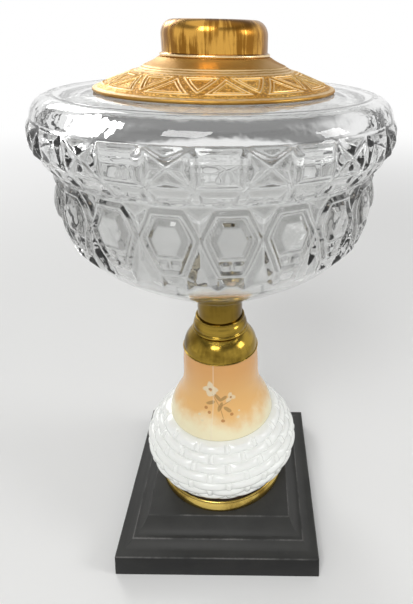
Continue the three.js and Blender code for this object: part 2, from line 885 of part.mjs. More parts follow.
// Corners of a plain ring of the font outside, and of one inside
const outsideCorners = 40;
const insideCorners = 30;
// The crown between the block band and the flat top: [share of the way in, share of the height]
const crownShares = [[0.1, 0.38], [0.42, 0.74], [1, 1]];
// Where the inside follows the outside, as shares of the height of each band
const insideBlockShares = [0.65, 0.333, 0];
const insideHexagonShares = [0.6, 0];
// How far the inside of the sloping underside lies in from it and above it, as a share of the wall
const slopeShare = 0.7;

function glassFont() {
  const skin = new Skin();
  const plain = (radius, height) => coarseRing(outsideCorners, 0, radius, height);
  const inside = (radius, height) => coarseRing(insideCorners, 0, radius, height);
  const bandFootRadius = fontWaistRadius * hexagonBandShares[0][1];
  const underside = undersideShares.slice(0, -1).map(([rise, way]) =>
    plain(cupMouthRadius + (bandFootRadius - cupMouthRadius) * way, cupRimZ + fontUndersideHeight * rise)
  );
  const pegFoot = plain(pegRadius, pegBottomZ);
  skin.fan(new THREE.Vector3(0, 0, pegBottomZ), pegFoot.toReversed());
  skin.strips(pegFoot, plain(pegRadius, cupRimZ), ...underside);
  skin.stitched(underside.at(-1), hexagonRing(hexagonRingShares(0), 0));

  for (let cell = 0; cell < hexagonCount; cell++) {
    hexagonCell(skin, cell);
  }
  skin.stitched(hexagonRing(hexagonRingShares(4), 1), blockRing(0));
  for (let cell = 0; cell < blockCount; cell++) {
    blockCell(skin, cell);
  }

  const bandHeadRadius = fontRadius * blockBandShares.at(-1)[1];
  const headRing = blockRing(1);
  const crownRings = crownShares.map(([way, rise]) =>
    headRing.map((point) => {
      const radius = bandHeadRadius + (crownCreaseRadius - bandHeadRadius) * way;
      return polar(angleOf(point), radius, crownZ + crownHeight * rise);
    })
  );
  skin.strips(headRing, ...crownRings);
  const topInner = plain(shoulderRadius, fontTopZ);
  skin.stitched(crownRings.at(-1), topInner);
  const neckFoot = inside(fontNeckRadius, fontTopZ);
  skin.stitched(topInner, neckFoot);

  const blockWall = insideBlockShares.map((rise) =>
    inside(fontRadius * readTable(blockBandShares, rise) - fontWall, blockBandZ + blockBandHeight * rise)
  );
  const hexagonWall = insideHexagonShares.map((rise) =>
    inside(
      fontWaistRadius * readTable(hexagonBandShares, rise) - fontWall,
      hexagonBandZ + hexagonBandHeight * rise
    )
  );
  const slope = undersideShares.slice(2, -1).toReversed().map(([rise, way]) =>
    inside(
      cupMouthRadius + (bandFootRadius - cupMouthRadius) * way - fontWall * slopeShare,
      cupRimZ + fontUndersideHeight * rise + fontWall * slopeShare
    )
  );
  skin.strips(
    neckFoot,
    inside(fontNeckRadius, fontMouthZ),
    inside(fontMouthRadius, fontMouthZ),
    inside(fontMouthRadius, fontTopZ - fontWall),
    inside(crownCreaseRadius - fontWall, fontTopZ - fontWall),
    inside(bandHeadRadius - fontWall, crownZ),
    ...blockWall,
    ...hexagonWall,
    ...slope
  );
  skin.fan(new THREE.Vector3(0, 0, cupRimZ + fontFloorHeight), slope.at(-1));
  return skin.geometry();
}

addPiece("glass_font", glassFont(), clearGlass);

// Brass shoulder: a spun cone with an embossed zigzag band and a rolled rim

// Plain outer face from the rim to the top: [share of the way in, share of the height]
const shoulderShares = {
  bandOuter: [0.1, 0.14],
  bandInner: [0.635, 0.565],
  ridge: [0.66, 0.61],
  step: [0.74, 0.7],
  groove: [0.765, 0.735],
  upper: [0.87, 0.84],
  top: [1, 1],
};
const zigzagPhase = -3.8 * degree;
const zigzagPitch = (2 * Math.PI) / zigzagCount;
const zigzagEdgeShares = [0, 0.25, 0.5, 0.75];
// The sunk triangles between the ribs of the zigzag, and the raised ones inside them
const lowFieldShares = [[0.13, 0.1], [0.87, 0.1], [0.5, 0.84]];
const highFieldShares = [[0.63, 0.9], [1, 0.16], [1.37, 0.9]];
const fieldScaleShare = 0.55;
const fieldLiftShare = 0.6;

const shoulderPoint = ([way, rise]) => [
  shoulderRadius + (shoulderTopRadius - shoulderRadius) * way,
  shoulderZ + shoulderHeight * rise,
];

function zigzagPoint(cell, [share, rise], lift) {
  const [outerRadius, outerZ] = shoulderPoint(shoulderShares.bandOuter);
  const [innerRadius, innerZ] = shoulderPoint(shoulderShares.bandInner);
  const radius = outerRadius + (innerRadius - outerRadius) * rise;
  const height = outerZ + (innerZ - outerZ) * rise;
  return polar(zigzagPhase + (cell + share) * zigzagPitch, radius, height + lift);
}

function zigzagCell(skin, cell) {
  const all = (outline, lift) => outline.map((point) => zigzagPoint(cell, point, lift));
  const low = all(lowFieldShares, 0);
  const high = all(highFieldShares, 0);
  const outerEdge = all([...zigzagEdgeShares, 1].map((share) => [share, 0]), zigzagLift);
  const innerEdge = all([0.5, 0.75, 1, 1.25, 1.5].map((share) => [share, 1]), zigzagLift);
  const [valley, , , , nextValley] = outerEdge;
  const [peak, , , , nextPeak] = innerEdge;
  skin.face(low[0], ...outerEdge, low[1]);
  skin.face(low[1], nextValley, peak, low[2]);
  skin.face(low[2], peak, valley, low[0]);
  skin.face(high[0], high[2], ...innerEdge.toReversed());
  skin.face(high[1], nextValley, nextPeak, high[2]);
  skin.face(high[0], peak, nextValley, high[1]);
  skin.pad(low, all(shrunk(lowFieldShares, fieldScaleShare), zigzagLift * fieldLiftShare));
  skin.pad(high, all(shrunk(highFieldShares, fieldScaleShare), zigzagLift * fieldLiftShare));
}

function zigzagRing(radius, height) {
  const ring = [];
  for (let cell = 0; cell < zigzagCount; cell++) {
    zigzagEdgeShares.forEach((share) => {
      ring.push(polar(zigzagPhase + (cell + share) * zigzagPitch, radius, height));
    });
  }
  return ring;
}

// The inner face of the shoulder's sheet, from its top to its rim
function shoulderInside() {
  const stations = ["step", "bandInner", "bandOuter"];
  return stations.map((name) => {
    const [radius, height] = shoulderPoint(shoulderShares[name]);
    return [radius, height - shoulderSheet];
  });
}

function fontShoulder() {
  const skin = new Skin();
  const at = (name) => shoulderPoint(shoulderShares[name]);
  const ring = ([radius, height]) => zigzagRing(radius, height);
  const [bandOuterRadius, bandOuterZ] = at("bandOuter");
  const [bandInnerRadius, bandInnerZ] = at("bandInner");
  const rimInner = ring([shoulderRadius - shoulderRim, shoulderZ]);
  const bandOuter = ring([bandOuterRadius, bandOuterZ + zigzagLift]);
  skin.strips(
    rimInner,
    ring([shoulderRadius - shoulderRim / 4, shoulderZ]),
    ring([shoulderRadius, shoulderZ + shoulderRim / 2]),
    ring([shoulderRadius - shoulderRim, shoulderZ + shoulderRim]),
    bandOuter
  );
  for (let cell = 0; cell < zigzagCount; cell++) {
    zigzagCell(skin, cell);
  }
  const bandInner = ring([bandInnerRadius, bandInnerZ + zigzagLift]);
  const topInside = ring([shoulderTopRadius - shoulderSheet, collarZ - shoulderSheet]);
  skin.strips(
    bandInner,
    ring(at("ridge")),
    ring(at("step")),
    ring(at("groove")),
    ring(at("upper")),
    ring(at("top")),
    ring([shoulderHoleRadius, collarZ]),
    ring([shoulderHoleRadius, collarZ - shoulderSheet]),
    topInside,
    ...shoulderInside().map(ring),
    rimInner
  );
  return skin.geometry();
}

addPiece("font_shoulder", fontShoulder(), brass);

// Plaster between the glass and the shoulder

function shoulderCement() {
  const inner = fontNeckRadius + fitClearance;
  const under = shoulderInside().map(([radius, height]) => [radius - fitClearance, height - fitClearance]);
  const [step, bandInner, bandOuter] = under;
  const lowShare = 0.35;
  const low = [0, 1].map((axis) => bandOuter[axis] + (bandInner[axis] - bandOuter[axis]) * lowShare);
  const foot = [[inner, fontTopZ], [low[0], fontTopZ], low];
  return turnedRing([...foot, bandInner, step, [inner, step[1]]], smallFacets);
}

addPiece("shoulder_cement", shoulderCement(), plaster);

// Brass screw collar, with a sleeve for the burner's thread inside a rounded shell

function burnerCollar() {
  const topZ = collarZ + collarHeight;
  const wallTopZ = collarZ + collarWallHeight;
  const bend = collarRadius - collarLandRadius;
  const bendSteps = 3;
  const outside = quarterEllipse(wallTopZ, bend, topZ - wallTopZ, 0, 1, bendSteps).map(
    ([radius, height]) => [collarLandRadius + radius, height]
  );
  const inside = quarterEllipse(wallTopZ, bend, topZ - wallTopZ - collarSheet, 0, 1, bendSteps).map(
    ([radius, height]) => [collarLandRadius - collarSheet + radius, height]
  );
  const sleeveBottomZ = collarZ - collarSleeveDrop;
  const sleeveOuter = collarThroatRadius + collarSheet;
  return turnedRing(
    [
      [collarRadius - collarSheet, collarZ],
      [collarRadius + collarBead - collarBead / 4, collarZ],
      [collarRadius + collarBead, collarZ + collarBead / 2],
      [collarRadius + collarBead - collarBead / 4, collarZ + collarBead],
      [collarRadius, collarZ + collarBead + collarBead / 4],
      ...outside,
      [collarThroatRadius + collarBead / 2, topZ],
      [collarThroatRadius, topZ - collarBead / 2],
      [collarThroatRadius, sleeveBottomZ],
      [sleeveOuter, sleeveBottomZ],
      [sleeveOuter, topZ - collarSheet],
      ...inside.toReversed(),
    ],
    mediumFacets
  );
}

addPiece("burner_collar", burnerCollar(), brass);

// Tie rod with its washer and nuts

function nut(bottomZ) {
  const outline = new THREE.Shape();
  for (let corner = 0; corner < 6; corner++) {
    const angle = (corner * Math.PI) / 3;
    const place = [nutCircleRadius * Math.cos(angle), nutCircleRadius * Math.sin(angle)];
    if (corner === 0) {
      outline.moveTo(...place);
    } else {
      outline.lineTo(...place);
    }
  }
  outline.closePath();
  const bore = new THREE.Path();
  bore.absarc(0, 0, rodRadius + fitClearance, 0, 2 * Math.PI, true);
  outline.holes.push(bore);
  const geometry = new THREE.ExtrudeGeometry(outline, {
    depth: nutHeight,
    bevelEnabled: false,
    curveSegments: smallFacets,
  });
  return geometry.translate(0, 0, bottomZ);
}

const baseWasherZ = bossZ - washerThickness;
const baseNutZ = baseWasherZ - nutHeight;
addPiece("base_washer", tube(rodRadius + fitClearance, washerRadius, baseWasherZ, bossZ, smallFacets), steel);
addPiece("base_nut", nut(baseNutZ), steel);
addPiece("rod_nut", nut(cupFloorZ), steel);
addPiece("tie_rod", bar(rodRadius, baseNutZ - rodEndLength, rodTopZ, smallFacets), steel);

export default lamp;
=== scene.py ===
# %% [markdown]
# # A glass oil lamp
# This lamp has a pressed glass font for the oil, a stem of milk glass that is painted above and
# woven below, brass fittings that were spun on a lathe, and a black cast-iron base.
# The imported CAD model is loaded first, because every finer piece has to fit it.

import math
from functools import reduce

import bpy
import numpy as np
from mathutils import Matrix, Vector


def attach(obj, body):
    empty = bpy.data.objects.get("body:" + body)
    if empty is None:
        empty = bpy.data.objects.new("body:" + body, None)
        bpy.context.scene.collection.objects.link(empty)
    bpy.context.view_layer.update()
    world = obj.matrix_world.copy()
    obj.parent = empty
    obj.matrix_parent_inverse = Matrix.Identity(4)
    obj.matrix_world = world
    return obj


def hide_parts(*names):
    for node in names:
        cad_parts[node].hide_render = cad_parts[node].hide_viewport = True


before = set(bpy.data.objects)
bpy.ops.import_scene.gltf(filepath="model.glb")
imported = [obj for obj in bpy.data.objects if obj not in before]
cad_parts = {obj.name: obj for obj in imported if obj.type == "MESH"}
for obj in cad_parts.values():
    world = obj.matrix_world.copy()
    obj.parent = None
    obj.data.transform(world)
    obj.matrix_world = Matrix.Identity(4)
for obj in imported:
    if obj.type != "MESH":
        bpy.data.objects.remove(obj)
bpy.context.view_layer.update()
mm = 0.001
print("CAD nodes:", len(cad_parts))

# %% [markdown]
# ## The camera
# The photograph was taken from close in front of the lamp and above it, with the lamp left of the
# lens's middle. A camera's own axes are columns of its matrix: right, up and backwards. Yaw, pitch
# and roll are turned into those three here, and the shift moves the picture sideways.

# %% Place the camera
photo_width = 413
photo_height = 604
camera_place = Vector((17.6, -234.3, 304.4)) * mm
yaw = math.radians(0.45)
pitch = math.radians(28.37)
roll = math.radians(1.16)
focal_pixels = 462.97
optical_middle = (253.26, 281.14)
sensor_width = 36.0

level_forward = Vector((math.sin(yaw), math.cos(yaw), 0))
level_right = Vector((math.cos(yaw), -math.sin(yaw), 0))
upwards = Vector((0, 0, 1))
forward = level_forward * math.cos(pitch) - upwards * math.sin(pitch)
level_up = level_forward * math.sin(pitch) + upwards * math.cos(pitch)
right = level_right * math.cos(roll) + level_up * math.sin(roll)
up = level_up * math.cos(roll) - level_right * math.sin(roll)

camera_data = bpy.data.cameras.new("camera")
camera_data.sensor_width = sensor_width
camera_data.lens = focal_pixels / photo_height * sensor_width
camera_data.shift_x = (photo_width / 2 - optical_middle[0]) / photo_height
camera_data.shift_y = (optical_middle[1] - photo_height / 2) / photo_height
camera_data.clip_start = 0.01
camera = bpy.data.objects.new("camera", camera_data)
bpy.context.scene.collection.objects.link(camera)
turn = Matrix((right, up, -forward)).transposed()
camera.matrix_world = Matrix.Translation(camera_place) @ turn.to_4x4()
bpy.context.scene.camera = camera
bpy.context.scene.view_settings.view_transform = "Standard"
print("Lens in mm:", round(camera_data.lens, 2))

# %% [markdown]
# ## Shader maths as Python
# One small class wraps the output of a node and gives it Python's operators, and a second one holds
# a material and adds its nodes.

# %% Wrap sockets and materials
class Wire:
    """The output of a node. Python's operators add Math nodes to it."""

    def __init__(self, finish, socket):
        self.finish = finish
        self.socket = socket

    def __add__(self, other):
        return self.finish.maths("ADD", self, other)

    def __sub__(self, other):
        return self.finish.maths("SUBTRACT", self, other)

    def __mul__(self, other):
        return self.finish.maths("MULTIPLY", self, other)

    def __truediv__(self, other):
        return self.finish.maths("DIVIDE", self, other)

    __radd__ = __add__
    __rmul__ = __mul__

    def __rsub__(self, other):
        return self.finish.maths("SUBTRACT", other, self)

    def __rtruediv__(self, other):
        return self.finish.maths("DIVIDE", other, self)

    def __abs__(self):
        return self.finish.maths("ABSOLUTE", self)


class Finish:
    """A material that is drawn with nodes."""

    def __init__(self, name):
        self.material = bpy.data.materials.new(name)
        self.material.use_nodes = True
        self.tree = self.material.node_tree
        self.shader = self.tree.nodes["Principled BSDF"]

    def node(self, kind, settings, values, output=0):
        """Add a node, with its settings first and its sockets' values or wires after them."""
        made = self.tree.nodes.new(kind)
        for name, value in settings.items():
            setattr(made, name, value)
        for name, value in values.items():
            self.feed(made.inputs[name], value)
        return Wire(self, made.outputs[output])

    def feed(self, socket, value):
        if isinstance(value, Wire):
            self.tree.links.new(value.socket, socket)
        else:
            socket.default_value = value

    def set(self, **values):
        """Set sockets of the main shader, whose names are written with underscores."""
        for name, value in values.items():
            self.feed(self.shader.inputs[name.replace("_", " ")], value)

    def show(self, share, other):
        """Let another shader take over by a share."""
        own = Wire(self, self.shader.outputs[0])
        mixed = self.node("ShaderNodeMixShader", {}, {0: share, 1: own, 2: other})
        self.feed(self.tree.nodes["Material Output"].inputs[0], mixed)

    def maths(self, operation, *values):
        return self.node("ShaderNodeMath", {"operation": operation}, dict(enumerate(values)))

    def greatest(self, values):
        return reduce(lambda first, second: self.maths("MAXIMUM", first, second), values)

    def least(self, values):
        return reduce(lambda first, second: self.maths("MINIMUM", first, second), values)

    def hypotenuse(self, across, along):
        """How far apart two points are that lie so far across and along."""
        return self.maths("SQRT", across * across + along * along)

    def place(self):
        """Where a point lies in the lamp's own frame, in metres."""
        return self.node("ShaderNodeTexCoord", {}, {}, "Object")

    def join(self, x, y, z):
        """A place from three coordinates."""
        return self.node("ShaderNodeCombineXYZ", {}, {0: x, 1: y, 2: z})

    def parts(self, place):
        """The three coordinates of a place."""
        return [self.node("ShaderNodeSeparateXYZ", {}, {0: place}, axis) for axis in "XYZ"]

    def height(self):
        """How high a point lies, in mm."""
        return self.parts(self.place())[2] / mm

    def noise(self, place, scale, detail=4.0, roughness=0.55):
        values = {"Vector": place, "Scale": scale, "Detail": detail, "Roughness": roughness}
        return self.node("ShaderNodeTexNoise", {}, values, "Fac")

    def step(self, value, low, high):
        """A smooth rise from 0 to 1 between two values."""
        values = {"Value": value, "From Min": low, "From Max": high}
        return self.node("ShaderNodeMapRange", {"interpolation_type": "SMOOTHSTEP"}, values)

    def blend(self, share, first, second):
        """A colour between two others."""
        first, second = [(*c, 1.0) if isinstance(c, tuple) else c for c in (first, second)]
        return self.node("ShaderNodeMix", {"data_type": "RGBA"}, {0: share, 6: first, 7: second}, 2)

    def bump(self, height, distance, strength=1.0):
        values = {"Height": height, "Distance": distance, "Strength": strength}
        self.set(Normal=self.node("ShaderNodeBump", {}, values))


print("Shader helpers are ready")

# %% [markdown]
# ## Hand tools
# Most pieces of this lamp are round, because they were spun on a lathe or pressed in a round mould.
# Here an outline is drawn point by point as a chain of extruded edges, and the spin operator turns it
# round the lamp's axis. Where the outline ends where it began, the piece comes out closed.

# %% Make the hand tools
def clear_selection():
    """Leave edit mode and let go of everything."""
    if bpy.context.object and bpy.context.object.mode != "OBJECT":
        bpy.ops.object.mode_set(mode="OBJECT")
    bpy.ops.object.select_all(action="DESELECT")


def start_edit():
    bpy.ops.object.mode_set(mode="EDIT")
    bpy.ops.mesh.select_all(action="SELECT")


def close_up():
    """Weld what coincides and turn the faces outwards."""
    bpy.ops.mesh.select_all(action="SELECT")
    bpy.ops.mesh.remove_doubles(threshold=0.002 * mm)
    bpy.ops.mesh.normals_make_consistent(inside=False)
    bpy.ops.object.mode_set(mode="OBJECT")


def spin_outline(name, outline, steps):
    """Spin points of (radius, height) in millimetres round the lamp's axis."""
    clear_selection()
    bpy.ops.mesh.primitive_plane_add(size=mm)
    piece = bpy.context.active_object
    piece.name = name
    start_edit()
    bpy.ops.mesh.merge(type="CENTER")
    points = [Vector((radius, 0, height)) * mm for radius, height in outline]
    bpy.ops.transform.translate(value=points[0])
    for start, end in zip(points, points[1:]):
        bpy.ops.mesh.extrude_region_move(TRANSFORM_OT_translate={"value": end - start})
    bpy.ops.mesh.select_all(action="SELECT")
    bpy.ops.mesh.spin(steps=steps, angle=math.tau, center=(0, 0, 0), axis=(0, 0, 1))
    close_up()
    return piece


def join_to(piece, other):
    """Make another piece part of a piece."""
    clear_selection()
    other.select_set(True)
    piece.select_set(True)
    bpy.context.view_layer.objects.active = piece
    bpy.ops.object.join()


def round_edges(piece, width, degrees):
    """Bevel the edges that are sharper than an angle."""
    bevel = piece.modifiers.new("round", "BEVEL")
    bevel.width = width * mm
    bevel.segments = 3
    bevel.limit_method = "ANGLE"
    bevel.angle_limit = math.radians(degrees)
    bpy.ops.object.modifier_apply(modifier="round")


def shade(piece, degrees=40):
    clear_selection()
    piece.select_set(True)
    bpy.context.view_layer.objects.active = piece
    bpy.ops.object.shade_smooth_by_angle(angle=math.radians(degrees))


def fit_piece(piece, node, finish):
    """Dress a piece, let it ride on the lamp and stand for its CAD node."""
    piece.data.materials.clear()
    piece.data.materials.append(finish.material)
    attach(piece, "root")
    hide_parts(node)
    print(piece.name, "faces:", len(piece.data.polygons))


print("Hand tools are ready")

# %% [markdown]
# ## Brass
# Old brass that was spun on a lathe shows fine rings, and it darkens where nobody rubs it. The rings
# follow height and distance from the axis, so noise that only reads those two draws them. Upright
# streaks read the direction alone.

# %% Make a brass finish
def brass(name, bright, tarnish, tarnish_from, tarnish_to, roughness, streaked=0.0):
    """A brass, its colour and its fine spots. Clouds above tarnish_from are tarnished."""
    finish = Finish(name)
    place = finish.place()
    x, y, z = finish.parts(place)
    distance = finish.hypotenuse(x, y)
    rings = finish.noise(finish.join(distance, z, 0.0), 1400.0, 2.0)
    streaks = finish.noise(finish.join(x / distance, y / distance, z * 3.0), 9.0, 5.0, 0.7)
    clouds = finish.noise(place, 55.0, 4.0, 0.5)
    spots = finish.noise(place, 420.0, 3.0)
    dirt = finish.step(clouds + spots * 0.14 + (streaks - 0.5) * streaked, tarnish_from, tarnish_to)
    colour = finish.blend(dirt, bright, tarnish)
    finish.set(Base_Color=colour, Metallic=1.0, Roughness=roughness + dirt * 0.12 + rings * 0.08)
    finish.bump(rings * 0.6 + spots * 0.4, 0.04 * mm, 0.5)
    return finish, colour, spots


print("The brass helper is ready")

# %% [markdown]
# ### Three plain brasses
# The collar is a warm gold with a bead that is painted pale. Cap, ring and cup are olive, and close
# under the font they are painted darker, as painted shade of the font. The dish is a brighter yellow.

# %% Make the plain brasses
pale_gold = (0.94, 0.74, 0.44)
shaded_olive = (0.12, 0.07, 0.01)
bead_top = 295.5
shade_foot = 146.0
shade_top = 160.0

golden_brass, golden, gold_spots = brass(
    "golden brass", (0.66, 0.355, 0.07), (0.25, 0.11, 0.015),
    tarnish_from=0.43, tarnish_to=0.69, roughness=0.16, streaked=1.3,
)
# The bead of the collar is painted pale gold all round.
bead_height = golden_brass.height() + gold_spots * 0.4
pale_bead = 1.0 - golden_brass.step(bead_height, bead_top - 0.3, bead_top + 0.3)
golden_brass.set(Base_Color=golden_brass.blend(pale_bead * 0.75, golden, pale_gold))

olive_brass, olive, _ = brass(
    "olive brass", (0.36, 0.24, 0.04), (0.13, 0.08, 0.01),
    tarnish_from=0.46, tarnish_to=0.76, roughness=0.1, streaked=0.3,
)
# Painted shade: close under the font the olive brass is painted darker.
painted_shade_under_font = olive_brass.step(olive_brass.height(), shade_foot, shade_top)
olive_brass.set(Base_Color=olive_brass.blend(painted_shade_under_font * 0.55, olive, shaded_olive))

dish_brass, _, _ = brass(
    "dish brass", (0.66, 0.48, 0.13), (0.26, 0.16, 0.03),
    tarnish_from=0.5, tarnish_to=0.8, roughness=0.16,
)
print("Made", golden_brass.material.name, olive_brass.material.name, dish_brass.material.name)

# %% [markdown]
# ### Embossed brass
# The shoulder is a satin brass. An attribute keeps how high each point was pressed: ridges are rubbed
# bright, as a few turned rings are, what lies deep has kept its tarnish, and the fields between are
# stippled with the dots of a Voronoi texture.

# %% Make the embossed brass
deep_brown = (0.2, 0.09, 0.018)
field_lift = 0.2
ring_heights = (282.2, 288.95, 289.75, 290.55)

embossed, worn, fine_spots = brass(
    "embossed brass", (0.95, 0.57, 0.14), (0.66, 0.34, 0.06),
    tarnish_from=0.5, tarnish_to=0.76, roughness=0.4,
)
lift = embossed.node("ShaderNodeAttribute", {"attribute_name": "lift"}, {}, "Fac")
dot_values = {"Vector": embossed.place(), "Scale": 900.0}
dots = embossed.node("ShaderNodeTexVoronoi", {}, dot_values, "Distance")
ridge = embossed.step(lift + fine_spots * 0.12, 0.42, 0.56)
in_field = 1.0 - embossed.step(abs(lift - field_lift), 0.03, 0.08)
hollow = 1.0 - embossed.step(lift, 0.02, field_lift)
between_dots = in_field * embossed.step(dots, 0.3, 0.6)
shaded = embossed.blend(hollow * 0.6, worn, deep_brown)
shaded = embossed.blend(between_dots * 0.55, shaded, deep_brown)
shaded = embossed.blend(ridge * 0.85, shaded, pale_gold)
cone_height = embossed.height() + fine_spots * 0.5
rubbed_rings = embossed.greatest(
    [1.0 - embossed.step(abs(cone_height - height), 0.08, 0.3) for height in ring_heights]
)
embossed.set(Base_Color=embossed.blend(rubbed_rings * 0.6, shaded, pale_gold))
embossed.bump(in_field * (1.0 - dots) + fine_spots * 0.3, 0.35 * mm, 0.7)
print("Made", embossed.material.name)

# %% [markdown]
# ## The cast-iron base
# A square step is a lathe piece with only four sides: an outline that is spun in four steps gives
# four mitred corners. Half widths are stretched by the square root of two first, because the spin
# draws the corners. The round boss in the hollow underneath is joined on.

# %% Cast the base
foot_half = 64.6
slab_half = 63.5
slab_top = 16.2
step_half = 53.95
step_top = 20.8
plate_half = 45.1
plate_top = 31.4
rod_hole = 3.3


def hollow_moulding(start, end, steps=9):
    """A cove between two corners of the outline that leaves flat and ends steep."""
    points = []
    for i in range(1, steps + 1):
        turn = math.radians(90 * i / steps)
        run = math.sin(turn) * 0.35 + 0.65 * i / steps
        rise = (1 - math.cos(turn)) * 0.75 + 0.25 * (i / steps) ** 2.5
        points.append((start[0] + (end[0] - start[0]) * run, start[1] + (end[1] - start[1]) * rise))
    return points


base_outline = [
    (0, plate_top - 5), (40, plate_top - 5), (48.9, 15.8), (58.5, 11.2), (59.5, 0), (foot_half, 0),
    (slab_half, slab_top),
    *hollow_moulding((slab_half, slab_top), (step_half, step_top)),
    *hollow_moulding((step_half, step_top), (plate_half, plate_top)),
    (0, plate_top),
]
corner_outline = [(half * math.sqrt(2), z) for half, z in base_outline]
cast_base = spin_outline("cast_base", corner_outline, steps=4)
start_edit()
bpy.ops.transform.rotate(value=math.radians(45), orient_axis="Z", center_override=(0, 0, 0))
bpy.ops.object.mode_set(mode="OBJECT")
round_edges(cast_base, width=0.45, degrees=30)
boss_outline = [
    (rod_hole, 21.4), (13.6, 21.4), (14.0, 21.8), (14.0, 26.6), (rod_hole, 26.6), (rod_hole, 21.4),
]
join_to(cast_base, spin_outline("boss", boss_outline, steps=64))
shade(cast_base, degrees=30)
print("Width of the foot in mm:", round(cast_base.dimensions.x / mm, 1))

# %% [markdown]
# ### Black iron
# The paint is black and half matt. It is worn thin on the edges of the steps, and everything above
# the slab's front is painted lighter, partly as dust and partly as painted light from above. A point
# lies near an edge if both its height and its greater half width are close to the edge's.

# %% Paint the iron
iron = Finish("black iron")
iron_place = iron.place()
iron_x, iron_y, iron_z = iron.parts(iron_place)
half_width = iron.maths("MAXIMUM", abs(iron_x), abs(iron_y)) / mm
iron_clouds = iron.noise(iron_place, 60.0, 5.0)
iron_grain = iron.noise(iron_place, 900.0, 3.0)
edge_gaps = [
    abs(half_width - half) + abs(iron_z / mm - z)
    for half, z in ((slab_half, slab_top), (step_half, step_top), (plate_half, plate_top))
]
edge = 1.0 - iron.step(iron.least(edge_gaps) + iron_grain * 0.8, 0.5, 1.3)
worn_edge = edge * iron.step(iron_clouds, 0.35, 0.6)
# Dust and painted light from above: everything above the slab's front is painted lighter.
dust_and_top_light = iron.step(iron_z / mm + iron_grain, 15.5, 17.0)
black = iron.blend(iron.step(iron_clouds, 0.35, 0.7), (0.006, 0.006, 0.006), (0.014, 0.014, 0.013))
dusty_top_lit_black = iron.blend(dust_and_top_light * (0.4 + iron_clouds * 0.6), black, (0.045, 0.045, 0.042))
iron.set(
    Base_Color=iron.blend(worn_edge * 0.7, dusty_top_lit_black, (0.16, 0.155, 0.15)),
    Roughness=0.42 + iron_clouds * 0.2,
    Specular_IOR_Level=0.3,
)
iron.bump(iron_grain + iron_clouds * 2.0, 0.12 * mm, 0.5)
fit_piece(cast_base, "iron_base", iron)

# %% [markdown]
# ## The brass dish
# The stem stands in a shallow dish, whose wall leans in to a thin rolled rim. Sheet brass is rolled
# over so that its edge doesn't cut, so the outline ends in an arc instead of a corner. One helper
# draws arcs, and another one lets a curve flow through points.

# %% Spin the dish
def arc(middle, radius, first, last, steps=6):
    """Points of an arc about (radius, height), in degrees from outwards towards up."""
    angles = [math.radians(first + (last - first) * i / steps) for i in range(steps + 1)]
    return [(middle[0] + radius * math.cos(a), middle[1] + radius * math.sin(a)) for a in angles]


def flowing(points, steps=6):
    """A smooth curve through points, by Catmull and Rom's rule."""
    padded = [points[0], *points, points[-1]]
    curve = []
    for before, start, end, after in zip(padded, padded[1:], padded[2:], padded[3:]):
        for i in range(steps):
            t = i / steps
            curve.append(tuple(
                0.5 * (2 * b + (c - a) * t + (2 * a - 5 * b + 4 * c - d) * t * t
                       + (3 * b - a - 3 * c + d) * t ** 3)
                for a, b, c, d in zip(before, start, end, after)
            ))
    return [*curve, points[-1]]


dish_floor = 32.6
dish_wall = [(42.4, 31.6), (42.6, 32.4), (42.5, 33.8), (42.0, 35.4), (41.3, 36.8), (41.1, 37.3)]
dish_outline = [
    (rod_hole, plate_top), (42.1, plate_top),
    *flowing(dish_wall, steps=4),
    *arc((40.6, 38.05), 0.75, -20, 180, steps=12),
    (39.9, 37.2), (39.9, 35.4), (39.7, 33.4), (39.0, dish_floor), (rod_hole, dish_floor),
    (rod_hole, plate_top),
]
dish = spin_outline("brass_dish", dish_outline, steps=144)
shade(dish)
fit_piece(dish, "stem_dish", dish_brass)

# %% [markdown]
# ## Pressing a pattern
# Weave, hexagons, blocks, zigzag and thread were all pressed into surfaces that are round otherwise.
# No modifier draws such patterns, so a helper moves the vertices of a finely spun piece along their
# normals, by a lift that follows from angle, radius and height. In a pattern of polygons it depends
# on how far a point lies inside one.

# %% Make the press
def read_vertices(mesh, what):
    values = np.empty(len(mesh.vertices) * 3)
    mesh.vertices.foreach_get(what, values)
    return values.reshape(-1, 3)


def press(piece, relief):
    """Move vertices along their normals by relief(angle, radius, height), all in mm and radians.

    Two attributes keep what was done: the lift, and how far the press turned the normals.
    """
    mesh = piece.data
    places = read_vertices(mesh, "co")
    normals = read_vertices(mesh, "normal")
    x, y, z = places.T / mm
    lift = relief(np.arctan2(x, -y), np.hypot(x, y), z)
    places += normals * lift[:, None] * mm
    mesh.vertices.foreach_set("co", places.ravel())
    mesh.update()
    turned = 1 - (normals * read_vertices(mesh, "normal")).sum(axis=1)
    for name, values in (("lift", lift), ("turned", turned)):
        mesh.attributes.new(name, "FLOAT", "POINT").data.foreach_set("value", values)


def rise_between(value, low, high):
    """A smooth rise from 0 to 1, for arrays."""
    share = np.clip((value - low) / (high - low), 0, 1)
    return share * share * (3 - 2 * share)


def hump(distance, half_width):
    """A round ridge that is 1 in its middle."""
    return np.sqrt(np.clip(1 - (distance / half_width) ** 2, 0, 1))


def share_across(angle, phase, count):
    """How far across its own repeat of a pattern each point lies, from 0 to 1."""
    return ((angle - phase) * count / math.tau) % 1


def depth_in(field, across, along, width, length):
    """How far points lie inside a polygon of shares, in mm; negative outside."""
    depth = np.full(across.shape, np.inf)
    for (x0, y0), (x1, y1) in zip(field, field[1:] + field[:1]):
        side_x, side_y = (x1 - x0) * width, (y1 - y0) * length
        from_x, from_y = (across - x0) * width, (along - y0) * length
        depth = np.minimum(depth, (side_x * from_y - side_y * from_x) / np.hypot(side_x, side_y))
    return depth


print("The press is ready")

# %% [markdown]
# ## The milk glass stem
# Bell and bulb are one casting. Over the bulb, strands weave in ten rows that are equally long along
# its outline, so the outline is measured first, and heights are looked up by length. Below its
# middle the bulb is part of an ellipse, and above it a curve flows through points.

